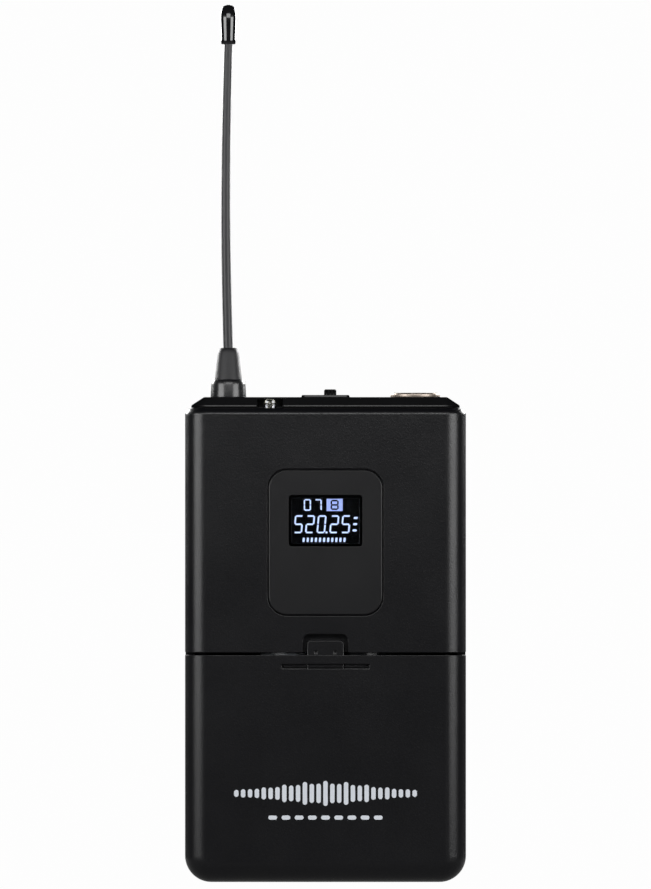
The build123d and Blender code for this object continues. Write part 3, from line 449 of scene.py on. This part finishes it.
# case, door, latch and plate: softened copies of the CAD forms
shells = {
    # node: (piece, body, record slot, finish, edge softening in mm)
    "front_shell": ("frontShell", "case", "case_black", "case", 0.14),
    "rear_shell": ("rearShell", "case", "case_black", "case", 0.14),
    "battery_door": ("batteryDoor", "door", "case_black", "case", 0.12),
    "door_latch": ("doorLatch", "latch", "case_black", "case", 0.12),
    "top_plate": ("topPlate", "case", "plate_black", "plate", 0.22),
    "display_bezel": ("displayBezel", "case", "bezel_black", "bezel", 0.1),
    "switch_knob": ("switchKnob", "knob", "plate_black", "plate", 0.08),
    "jack_ring": ("jackRing", "case", "jack_nickel", "nickel", 0.08),
    "case_screws": ("caseScrews", "case", "screw_black", "screw", 0.1),
}
shellPieces = {}
for node, (name, body, slotName, finishName, edge) in shells.items():
    piece = detailCopy(node, name, edge * mm)
    shellPieces[name] = piece
    finishPiece(piece, body, finish[finishName], (node,))
    print("shell piece", name, len(piece.data.polygons), "faces")

# the latch's spring rides on the door with a mesh of its own; on the real latch it is pressed down as the
# latch slides
latchSpring = detailCopy("latch_spring", "latchSpring", 0)
finishPiece(latchSpring, "door", finish["steel"], ("latch_spring",), 50)
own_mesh(latchSpring)

# bright metal on the sides of each screw's cross: painted glints along its edges, which also read as metal
# worn bare by the driver
cross = {
    "apart": 3 * mm,  # a screw's own faces lie nearer to its axis than this
    "reach": 1.25 * mm,
    "depth": 0.6 * mm,
    "outward": 0.9,
    "flat": 0.95,
}
screwMesh = shellPieces["caseScrews"].data
screwMesh.materials.append(finish["crossGlint"])
outFaces = [face for face in screwMesh.polygons if face.normal.y > cross["outward"]]
for face in screwMesh.polygons:
    near = [other for other in outFaces if (other.center - face.center).xz.length < cross["apart"]]
    if not near or abs(face.normal.y) > cross["flat"]:
        continue
    headTop = max(other.center.y for other in near)
    weight = sum(other.area for other in near)
    axis = sum((other.center * other.area for other in near), Vector()) / weight
    if (face.center - axis).xz.length < cross["reach"] and face.center.y > headTop - cross["depth"]:
        face.material_index = 1

antenna = {
    "x": -22.2 * mm,
    "flexLow": 114.6 * mm,
    "flexHigh": 150.0 * mm,
    "whipLow": 119.6 * mm,
    "whipTop": 191.4 * mm,
    "whipRadius": 1.1 * mm,
    "whipSides": 32,
    "whipRings": 44,
    "whipTaper": 0.08,
    "bow": 0.6 * mm,
    # radius and height of each ring, in mm
    "collar": ((3.2, 110.5), (4.05, 110.5), (4.02, 111.6), (3.92, 113.4), (3.84, 114.0), (3.68, 114.38),
               (3.4, 114.56), (3.15, 114.6), (3.13, 113.2)),
    "boot": ((2.6, 112.5), (3.1, 112.6), (3.1, 114.6), (3.02, 115.4), (2.86, 116.8), (2.7, 118.2),
             (2.54, 119.6), (2.4, 120.6), (2.28, 121.2), (2.02, 121.6), (1.6, 121.8), (1.15, 121.82),
             (1.1, 120.9)),
    "tip": ((1.25, 191.2), (1.5, 191.2), (1.62, 191.35), (1.68, 192.2), (1.74, 193.5), (1.82, 194.8),
            (1.9, 196.0), (1.95, 197.0), (1.93, 197.9), (1.84, 198.6), (1.66, 199.2), (1.38, 199.7),
            (1.0, 200.0), (0.5, 200.17), (0.12, 200.2)),
}


def scaled(profile):
    return [(radius * mm, z * mm) for radius, z in profile]


collar = latheByRings("antennaCollar", antenna["x"], 0, scaled(antenna["collar"]))
softenEdges(collar, 0.08 * mm)
finishPiece(collar, "case", finish["collar"], ("antenna_collar",))

boot = latheByRings("antennaBoot", antenna["x"], 0, scaled(antenna["boot"]))
finishPiece(boot, None, finish["rubber"], ("antenna_boot",), 50)
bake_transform(boot)

whipLow = antenna["whipLow"]
whipLength = antenna["whipTop"] - whipLow
clearSelection()
bpy.ops.mesh.primitive_cylinder_add(vertices=antenna["whipSides"], radius=antenna["whipRadius"],
                                    depth=whipLength, location=(antenna["x"], 0, whipLow + whipLength / 2))
whip = settle(bpy.context.object)
whip.name = "antennaWhip"
editMode(whip)
for ring in range(1, antenna["whipRings"]):
    ringZ = whipLow + ring * whipLength / antenna["whipRings"]
    bpy.ops.mesh.select_all(action="SELECT")
    bpy.ops.mesh.bisect(plane_co=(0, 0, ringZ), plane_no=(0, 0, 1))
objectMode()
for point in whip.data.vertices:
    along = (point.co.z - whipLow) / whipLength
    slim = 1.0 - antenna["whipTaper"] * along
    aside = antenna["bow"] * math.sin(math.pi * along)
    point.co.x = antenna["x"] + (point.co.x - antenna["x"]) * slim - aside
    point.co.y *= slim
finishPiece(whip, None, finish["whip"], ("antenna_whip",), 50)
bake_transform(whip)

tip = latheByRings("antennaTip", antenna["x"], 0, scaled(antenna["tip"]))
finishPiece(tip, "antenna", finish["tip"], ("antenna_tip",), 60)
print("antenna made")

led = {
    "x": -12.65 * mm,
    "y": -6.6 * mm,
    # radius and height of each ring, in mm
    "lens": ((1.36, 105.0), (1.4, 105.1), (1.4, 108.7), (1.37, 109.05), (1.27, 109.4), (1.08, 109.72),
             (0.8, 109.94), (0.45, 110.07), (0.1, 110.1)),
    "cup": ((0.55, 106.0), (0.6, 108.3), (1.02, 109.1), (1.12, 109.1), (0.9, 108.8), (0.45, 108.6)),
    "postBack": 0.35 * mm,
    "posts": ((-0.6, 109.45), (0.0, 109.05), (0.62, 109.5)),  # sideways place and top, in mm
}
ledLens = latheByRings("ledLens", led["x"], led["y"], scaled(led["lens"]), 40)
finishPiece(ledLens, "case", finish["led"], ("status_led",), 60)
ledCup = latheByRings("ledCup", led["x"], led["y"], scaled(led["cup"]), 32)
finishPiece(ledCup, "case", finish["die"])
posts = []
for aside, high in led["posts"]:
    posts.append(latheByRings("ledPost", led["x"] + aside * mm, led["y"] - led["postBack"], scaled((
        (0.16, 107.9), (0.2, 108.4), (0.2, high - 0.25), (0.26, high - 0.2), (0.26, high - 0.04),
        (0.18, high))), 16))
ledPosts = joinPieces(posts, "ledPosts")
# the posts glow white as painted glints inside the lens
finishPiece(ledPosts, "case", finish["ledPostPaintedGlint"])
print("status light made")

# belt clip: one strip of steel from the rivet plate to the foot
clip = {
    "width": 25.8 * mm,
    "steel": 0.8 * mm,
    "plateY": 12.4 * mm,
    "plateLow": 66.0 * mm,
    "bendY": 15.4 * mm,
    "bendZ": 85.8 * mm,
    "kneeZ": 54.2 * mm,
    "kneeRadius": 5.0 * mm,
    "pinch": (12.48 * mm, 34.5 * mm),
    "pinchRadius": 4.0 * mm,
    "foot": (15.5 * mm, 25.7 * mm),
    "footCorner": 3.7 * mm,
    "footBand": 1.2 * mm,  # the foot's end edges lie within this
    "firstBlock": 2 * mm,
    "softEdge": 0.2 * mm,
    "sideways": 0.4,
    "flexY": 18.8 * mm,
    "flexReach": (7.14 * mm, -2.04 * mm),
}


def drawOut(direction, length, steps):
    for _ in range(steps):
        shift = direction * (length / steps)
        bpy.ops.mesh.extrude_region_move(TRANSFORM_OT_translate={"value": (0, shift.y, shift.z)})


def makeClip():
    block = clip["firstBlock"]
    leafY = 2 * clip["bendY"] - clip["plateY"]
    knee = Vector((0, leafY, clip["kneeZ"]))
    pinch = Vector((0, *clip["pinch"]))
    foot = Vector((0, *clip["foot"]))
    down = Vector((0, 0, -1))
    inward = (pinch - knee).normalized()
    flare = (foot - pinch).normalized()
    kneeTurn = down.angle(inward)
    pinchTurn = inward.angle(flare)
    kneeTrim = clip["kneeRadius"] * math.tan(kneeTurn / 2)
    pinchTrim = clip["pinchRadius"] * math.tan(pinchTurn / 2)
    clearSelection()
    bpy.ops.mesh.primitive_cube_add(size=1, location=(0, clip["plateY"], clip["plateLow"] + block / 2))
    strip = bpy.context.object
    strip.name = "beltClip"
    strip.scale = (clip["width"], clip["steel"], block)
    settle(strip)
    editMode(strip)
    chooseFaces(strip, lambda centre, normal: normal.z > 0.9)
    drawOut(Vector((0, 0, 1)), clip["bendZ"] - clip["plateLow"] - block, 3)
    bpy.ops.mesh.spin(steps=20, angle=math.pi, center=(0, clip["bendY"], clip["bendZ"]), axis=(1, 0, 0))
    drawOut(down, clip["bendZ"] - knee.z - kneeTrim, 10)
    kneeCentre = (0, leafY - clip["kneeRadius"], knee.z + kneeTrim)
    bpy.ops.mesh.spin(steps=6, angle=kneeTurn, center=kneeCentre, axis=(1, 0, 0))
    drawOut(inward, (pinch - knee).length - kneeTrim - pinchTrim, 1)
    pinchEntry = pinch - inward * pinchTrim
    across = Vector((0, -inward.z, inward.y))
    pinchCentre = pinchEntry + across * clip["pinchRadius"]
    bpy.ops.mesh.spin(steps=6, angle=-pinchTurn, center=pinchCentre, axis=(1, 0, 0))
    drawOut(flare, (foot - pinch).length - pinchTrim, 1)
    objectMode()
    outward(strip)
    return strip


beltClip = makeClip()
editMode(beltClip, "EDGE")
footTop = clip["foot"][1] + clip["footBand"]
chooseEdges(beltClip, lambda a, b: abs(a.x - b.x) < 1e-6 and max(a.z, b.z) < footTop
            and (a - b).length < clip["steel"] * 1.1)
bpy.ops.mesh.bevel(offset=clip["footCorner"], segments=8, affect="EDGES")
objectMode()
softenEdges(beltClip, clip["softEdge"], 3, 40)
finishPiece(beltClip, None, finish["clip"], ("clip_base", "clip_arm"), 40)
# the strip's cut sides: bare steel, and a painted highlight line along each side
beltClip.data.materials.append(finish["clipBareEdgeHighlight"])
for face in beltClip.data.polygons:
    if abs(face.normal.x) > clip["sideways"]:
        face.material_index = 1
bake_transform(beltClip)
print("belt clip made")


# printed and lit marks are thin raised pieces
def roundedBar(name, x, z, width, height, y, thick, corner=0.49):
    # upright bar with round ends, facing the front
    clearSelection()
    bpy.ops.mesh.primitive_cube_add(size=1, location=(x, y, z))
    bar = bpy.context.object
    bar.name = name
    bar.scale = (width, thick, height)
    settle(bar)
    editMode(bar, "EDGE")
    chooseEdges(bar, lambda a, b: abs(a.y - b.y) > thick / 2)
    bpy.ops.mesh.bevel(offset=min(width, height) * corner, segments=5, affect="EDGES")
    objectMode()
    return bar


wave = {
    "bars": 27,
    "pitch": 1.56 * mm,
    "width": 1.02 * mm,
    "low": 1.3 * mm,
    "high": 5.7 * mm,
    "z": 20.35 * mm,
    "ruleZ": 14.85 * mm,
    "frontY": -12.0 * mm,
    "thick": 0.05 * mm,
    "spread": 8.5,  # how far the swell reaches, in bars
    "beatLow": 0.45,
    "beatTurn": 1.05,
    "dashes": 9,
    "dashPitch": 3.0 * mm,
    "dashSize": (2.0 * mm, 0.95 * mm),
}
bars = []
middle = (wave["bars"] - 1) / 2
for index in range(wave["bars"]):
    offset = index - middle
    swell = math.exp(-(offset / wave["spread"]) ** 2)
    beat = wave["beatLow"] + (1 - wave["beatLow"]) * abs(math.cos(offset * wave["beatTurn"]))
    height = wave["low"] + (wave["high"] - wave["low"]) * swell * beat
    bars.append(roundedBar("bar", offset * wave["pitch"], wave["z"], wave["width"], height,
                           wave["frontY"], wave["thick"]))
middle = (wave["dashes"] - 1) / 2
for index in range(wave["dashes"]):
    bars.append(roundedBar("dash", (index - middle) * wave["dashPitch"], wave["ruleZ"], *wave["dashSize"],
                           wave["frontY"], wave["thick"]))
doorPrint = joinPieces(bars, "doorPrint")
finishPiece(doorPrint, "door", finish["print"], (), 60)
print("door print made")

readout = {
    "y": -9.98 * mm,
    "thick": 0.04 * mm,
    "digits": "520.25",
    "digitWidth": 1.62 * mm,
    "digitHeight": 3.75 * mm,
    "digitPitch": 2.62 * mm,
    "stroke": 0.42 * mm,
    "left": -6.95 * mm,
    "z": 81.55 * mm,
    "slant": 0.09,
    "slantBelow": 84 * mm,
    "topZ": 85.95 * mm,
    "topDigits": "07",
    "topLeft": -4.8 * mm,
    "topPitch": 2.45 * mm,
    "topWidth": 1.35 * mm,
    "topHeight": 2.35 * mm,
    "topStroke": 0.36 * mm,
    "boxX": 2.08 * mm,
    "boxWidth": 3.65 * mm,
    "boxHeight": 2.8 * mm,
    "boxDigitLeft": 1.33 * mm,
    "boxDigitWidth": 1.5 * mm,
    "boxDigitHeight": 1.95 * mm,
    "boxStroke": 0.42 * mm,
    "units": 3,
    "unitX": 6.75 * mm,
    "unitLow": 80.15 * mm,
    "unitPitch": 1.42 * mm,
    "unitSize": (0.95 * mm, 0.5 * mm),
    "levels": 11,
    "levelLeft": -4.65 * mm,
    "levelPitch": 0.93 * mm,
    "levelZ": 78.0 * mm,
    "levelSize": (0.5 * mm, 1.05 * mm),
}
segmentsOf = {
    "0": "abcdef", "1": "bc", "2": "abged", "3": "abgcd", "4": "fgbc",
    "5": "afgcd", "6": "afgedc", "7": "abc", "8": "abcdefg", "9": "abcdfg",
}


def segment(x, z, length, stroke, upright):
    # six-sided stroke of a numeral
    clearSelection()
    bpy.ops.mesh.primitive_circle_add(vertices=6, radius=stroke / 2, fill_type="NGON",
                                      location=(0, 0, 0), rotation=(math.pi / 2, 0, 0))
    stroke6 = settle(bpy.context.object)
    reach = (length - stroke) / 2
    for point in stroke6.data.vertices:
        side = (point.co.z > 1e-7) - (point.co.z < -1e-7)
        point.co.z += side * reach
    editMode(stroke6)
    bpy.ops.mesh.select_all(action="SELECT")
    bpy.ops.mesh.extrude_region_move(TRANSFORM_OT_translate={"value": (0, readout["thick"], 0)})
    objectMode()
    if not upright:
        stroke6.rotation_euler = (0, math.pi / 2, 0)
    stroke6.location = (x, readout["y"], z)
    return settle(stroke6)


def numeral(sign, left, z, width, height, stroke):
    half = height / 2
    places = {
        "a": (width / 2, half, False), "d": (width / 2, -half, False), "g": (width / 2, 0, False),
        "f": (0, half / 2, True), "e": (0, -half / 2, True),
        "b": (width, half / 2, True), "c": (width, -half / 2, True),
    }
    strokes = []
    for key in segmentsOf[sign]:
        dx, dz, upright = places[key]
        length = (half if upright else width) * 0.94
        strokes.append(segment(left + dx, z + dz, length, stroke, upright))
    return strokes


def numeralRow(signs, left, pitch, z, width, height, stroke):
    # a point takes no pitch of its own
    row = []
    place = left
    for sign in signs:
        if sign == ".":
            row.append(roundedBar("point", place - (pitch - width) * 0.5, z - height / 2, stroke * 1.15,
                                  stroke * 1.15, readout["y"], readout["thick"]))
            place += stroke * 0.7
            continue
        row += numeral(sign, place, z, width, height, stroke)
        place += pitch
    return row


lights = numeralRow(readout["digits"], readout["left"], readout["digitPitch"], readout["z"],
                    readout["digitWidth"], readout["digitHeight"], readout["stroke"])
lights += numeralRow(readout["topDigits"], readout["topLeft"], readout["topPitch"], readout["topZ"],
                     readout["topWidth"], readout["topHeight"], readout["topStroke"])
for index in range(readout["units"]):  # small column beside the numerals
    lights.append(roundedBar("unit", readout["unitX"], readout["unitLow"] + readout["unitPitch"] * index,
                             *readout["unitSize"], readout["y"], readout["thick"]))
for index in range(readout["levels"]):  # level meter
    lights.append(roundedBar("level", readout["levelLeft"] + readout["levelPitch"] * index,
                             readout["levelZ"], *readout["levelSize"], readout["y"], readout["thick"]))
readoutPiece = joinPieces(lights, "displayReadout")
for point in readoutPiece.data.vertices:
    if point.co.z < readout["slantBelow"]:
        point.co.x += (point.co.z - readout["z"]) * readout["slant"]
finishPiece(readoutPiece, "case", finish["lcdLit"], (), 60)
litBox = roundedBar("readoutBox", readout["boxX"], readout["topZ"], readout["boxWidth"],
                    readout["boxHeight"], readout["y"], readout["thick"], 0.04)
finishPiece(litBox, "case", finish["lcdField"], (), 60)
darkMark = joinPieces(
    numeral("8", readout["boxDigitLeft"], readout["topZ"], readout["boxDigitWidth"],
            readout["boxDigitHeight"], readout["boxStroke"]), "readoutBoxNumeral")
for point in darkMark.data.vertices:
    point.co.y -= readout["thick"]
finishPiece(darkMark, "case", finish["lcdFace"], (), 60)
print("readout made")

label = {
    "x": 0.3 * mm,
    "z": 20.0 * mm,
    "y": 11.7 * mm,
    "width": 15.5 * mm,
    "height": 5.2 * mm,
    "film": 0.15 * mm,
    "tilt": math.radians(2.7),
    "corner": 0.3 * mm,
    "numberSize": 4.9 * mm,
    "numberWeight": 0.06 * mm,
    "ink": 0.01 * mm,
    "lineWidth": 0.16 * mm,
    "lineFilm": 0.02 * mm,
    "lineCorner": 0.05 * mm,
    "lineInset": 0.35 * mm,
    "lineShort": (0.5 * mm, 0.6 * mm),  # how much shorter than the label each line is
}


def labelPart(name, width, height, thick, lift, corner):
    clearSelection()
    bpy.ops.mesh.primitive_cube_add(size=1)
    part = bpy.context.object
    part.name = name
    part.scale = (width, thick, height)
    settle(part)
    editMode(part, "EDGE")
    chooseEdges(part, lambda a, b: abs(a.y - b.y) > thick / 2)
    bpy.ops.mesh.bevel(offset=corner, segments=4, affect="EDGES")
    objectMode()
    part.rotation_euler = (0, -label["tilt"], 0)
    part.location = (label["x"], label["y"] + lift + thick / 2, label["z"])
    return settle(part)


sticker = labelPart("rearLabel", label["width"], label["height"], label["film"], 0, label["corner"])
finishPiece(sticker, "case", finish["label"], ("frequency_label",), 50)
clearSelection()
bpy.ops.object.text_add()
number = bpy.context.object
number.data.body = "0 2 4 8"
number.data.size = label["numberSize"]
number.data.extrude = label["ink"]
number.data.offset = label["numberWeight"]
number.data.align_x = "CENTER"
number.data.align_y = "CENTER"
bpy.ops.object.convert(target="MESH")
number = bpy.context.object
number.matrix_world = (
    Matrix.Translation((label["x"], label["y"] + label["film"] + label["ink"], label["z"]))
    @ Matrix.Rotation(-label["tilt"], 4, "Y")
    @ Matrix.Rotation(math.pi, 4, "Z")
    @ Matrix.Rotation(math.pi / 2, 4, "X")
)
number.name = "labelNumber"
settle(number)
edgeLines = []
for sign in (-1, 1):
    longLine = labelPart("lineLong", label["width"] - label["lineShort"][0], label["lineWidth"],
                         label["lineFilm"], label["film"], label["lineCorner"])
    shift = sign * (label["height"] / 2 - label["lineInset"])
    longLine.location = (-shift * math.sin(label["tilt"]), 0, shift)
    shortLine = labelPart("lineShort", label["lineWidth"], label["height"] - label["lineShort"][1],
                          label["lineFilm"], label["film"], label["lineCorner"])
    shift = sign * (label["width"] / 2 - label["lineInset"])
    shortLine.location = (shift, 0, shift * math.sin(label["tilt"]))
    edgeLines += [longLine, shortLine]
labelInk = joinPieces([number] + edgeLines, "labelInk")
finishPiece(labelInk, "case", finish["ink"], (), 40)
print("label made")


cell = {
    "length": 50.5,
    "y": -0.5 * mm,
    "sides": 56,
    "bandFrom": 38.0,
    "capFrom": 49.1,
    "bareTo": 0.1,
    # radius and height of each ring, in mm
    "rings": (
        (6.6, 0.0), (7.0, 0.12), (7.22, 0.5), (7.25, 1.0), (7.25, 38.0), (7.25, 47.9), (7.18, 48.4),
        (6.9, 48.9), (6.3, 49.15), (3.2, 49.2), (2.85, 49.35), (2.75, 49.7), (2.7, 50.3), (2.4, 50.48),
        (1.2, 50.5),
    ),
}


def makeCell(name, x, low, upright):
    profile = [(radius, low + z) for radius, z in cell["rings"]]
    if not upright:
        profile = [(radius, low + cell["length"] - z) for radius, z in reversed(cell["rings"])]
    return latheByRings(name, x * mm, cell["y"], scaled(profile), cell["sides"])


for name, node, x, low, upright in (
    ("batteryLeft", "battery_left", -7.6, 8.2, True),
    ("batteryRight", "battery_right", 7.6, 6.1, False),
):
    cellPiece = makeCell(name, x, low, upright)
    finishPiece(cellPiece, "case", finish["sleeve"], (node,), 40)
    cellPiece.data.materials.append(finish["sleeveBand"])
    cellPiece.data.materials.append(finish["nickelDull"])
    for face in cellPiece.data.polygons:
        along = face.center.z / mm - low
        if not upright:
            along = cell["length"] - along
        if along < cell["bareTo"] or along > cell["capFrom"]:
            face.material_index = 2
        elif along > cell["bandFrom"]:
            face.material_index = 1
print("cells made")

stage = {
    "floorSize": 30.0,
    "floorZ": -0.05,  # low enough for the open door
    "floorShade": 0.12,  # what the object sees of the floor
    "paper": 0.985,  # brightness of floor and backdrop as the camera sees them
    "glowShare": 0.97,
    "view": 0.2032,  # height that the picture covers at the object
    "distance": 2.4,
    "lookZ": 0.0997,
    "sensor": 36.0,
    "clipEnd": 60.0,
    "fill": (0.9, 0.95, 1.0),  # colour and strength of the light from all round
    "fillStrength": 0.02,
}


def makeFloor():
    clearSelection()
    bpy.ops.mesh.primitive_plane_add(size=stage["floorSize"], location=(0, 0, stage["floorZ"]))
    floor = bpy.context.object
    floor.name = "studioFloor"
    material, tree, shader = startMaterial("floorPaper")
    shader.inputs["Base Color"].default_value = (stage["floorShade"],) * 3 + (1.0,)
    shader.inputs["Roughness"].default_value = 0.9
    glow = tree.nodes.new("ShaderNodeEmission")
    glow.inputs["Color"].default_value = (stage["paper"] / stage["glowShare"],) * 3 + (1.0,)
    path = tree.nodes.new("ShaderNodeLightPath")
    share = tree.nodes.new("ShaderNodeMath")
    share.operation = "MULTIPLY"
    share.inputs[1].default_value = stage["glowShare"]
    blend = tree.nodes.new("ShaderNodeMixShader")
    tree.links.new(path.outputs["Is Camera Ray"], share.inputs[0])
    tree.links.new(share.outputs[0], blend.inputs[0])
    tree.links.new(shader.outputs[0], blend.inputs[1])
    tree.links.new(glow.outputs[0], blend.inputs[2])
    tree.links.new(blend.outputs[0], tree.nodes["Material Output"].inputs["Surface"])
    floor.data.materials.append(material)


def makeWorld():
    world = bpy.data.worlds.new("studio")
    bpy.context.scene.world = world
    world.use_nodes = True
    tree = world.node_tree
    dim = tree.nodes["Background"]
    dim.inputs["Color"].default_value = (*stage["fill"], 1.0)
    dim.inputs["Strength"].default_value = stage["fillStrength"]
    bright = tree.nodes.new("ShaderNodeBackground")
    bright.inputs["Color"].default_value = (stage["paper"],) * 3 + (1.0,)
    path = tree.nodes.new("ShaderNodeLightPath")
    mix = tree.nodes.new("ShaderNodeMixShader")
    tree.links.new(path.outputs["Is Camera Ray"], mix.inputs[0])
    tree.links.new(dim.outputs[0], mix.inputs[1])
    tree.links.new(bright.outputs[0], mix.inputs[2])
    tree.links.new(mix.outputs[0], tree.nodes["World Output"].inputs["Surface"])


def softbox(name, place, target, width, height, power):
    data = bpy.data.lights.new(name, "AREA")
    data.shape = "RECTANGLE"
    data.size = width
    data.size_y = height
    data.energy = power
    light = bpy.data.objects.new(name, data)
    bpy.context.scene.collection.objects.link(light)
    light.location = place
    light.rotation_euler = (Vector(target) - Vector(place)).to_track_quat("-Z", "Y").to_euler()
    return light


def plateGroup(name, state):
    # says whether a light reaches the flat plate and the knob, which glare at low angles
    group = bpy.data.collections.new(name)
    for pieceName in ("topPlate", "switchKnob"):
        group.objects.link(shellPieces[pieceName])
    for entry in group.collection_objects:
        entry.light_linking.link_state = state
    return group


makeFloor()
makeWorld()
middleZ = 0.08
beyondPlate = plateGroup("beyondPlate", "EXCLUDE")
boxes = {
    # name: (angle from straight ahead, distance, height, width, tall, power)
    "frontLeft": (-50, 0.62, 0.155, 0.42, 0.19, 1.5),
    "frontRight": (50, 0.62, 0.155, 0.42, 0.19, 1.5),
    "frontKey": (0, 0.5, 0.28, 0.5, 0.12, 0.85),
    "rearLeft": (180 - 40, 0.62, 0.3, 0.4, 0.24, 5.0),
    "rearRight": (180 + 40, 0.62, 0.3, 0.4, 0.24, 5.0),
    "rearKey": (180, 0.5, 0.28, 0.5, 0.12, 0.7),
}
for name, (angle, distance, height, width, tall, power) in boxes.items():
    turn = math.radians(angle)
    place = (distance * math.sin(turn), -distance * math.cos(turn), height)
    light = softbox(name, place, (0, 0, middleZ), width, tall, power)
    light.light_linking.receiver_collection = beyondPlate
plateLamp = {"place": (0, -0.3, 0.42), "target": (0, 0, 0.11), "size": 0.3, "power": 1.1}
plateLight = softbox("plateKey", plateLamp["place"], plateLamp["target"], plateLamp["size"],
                     plateLamp["size"], plateLamp["power"])
plateLight.light_linking.receiver_collection = plateGroup("plateOnly", "INCLUDE")

cameraData = bpy.data.cameras.new("camera")
cameraData.lens = stage["sensor"] * stage["distance"] / stage["view"]
cameraData.clip_end = stage["clipEnd"]
camera = bpy.data.objects.new("camera", cameraData)
bpy.context.scene.collection.objects.link(camera)
camera.location = (0, -stage["distance"], stage["lookZ"])
camera.rotation_euler = (math.pi / 2, 0, 0)
bpy.context.scene.camera = camera
bpy.context.scene.view_settings.view_transform = "Standard"
print("stage, light and camera set")
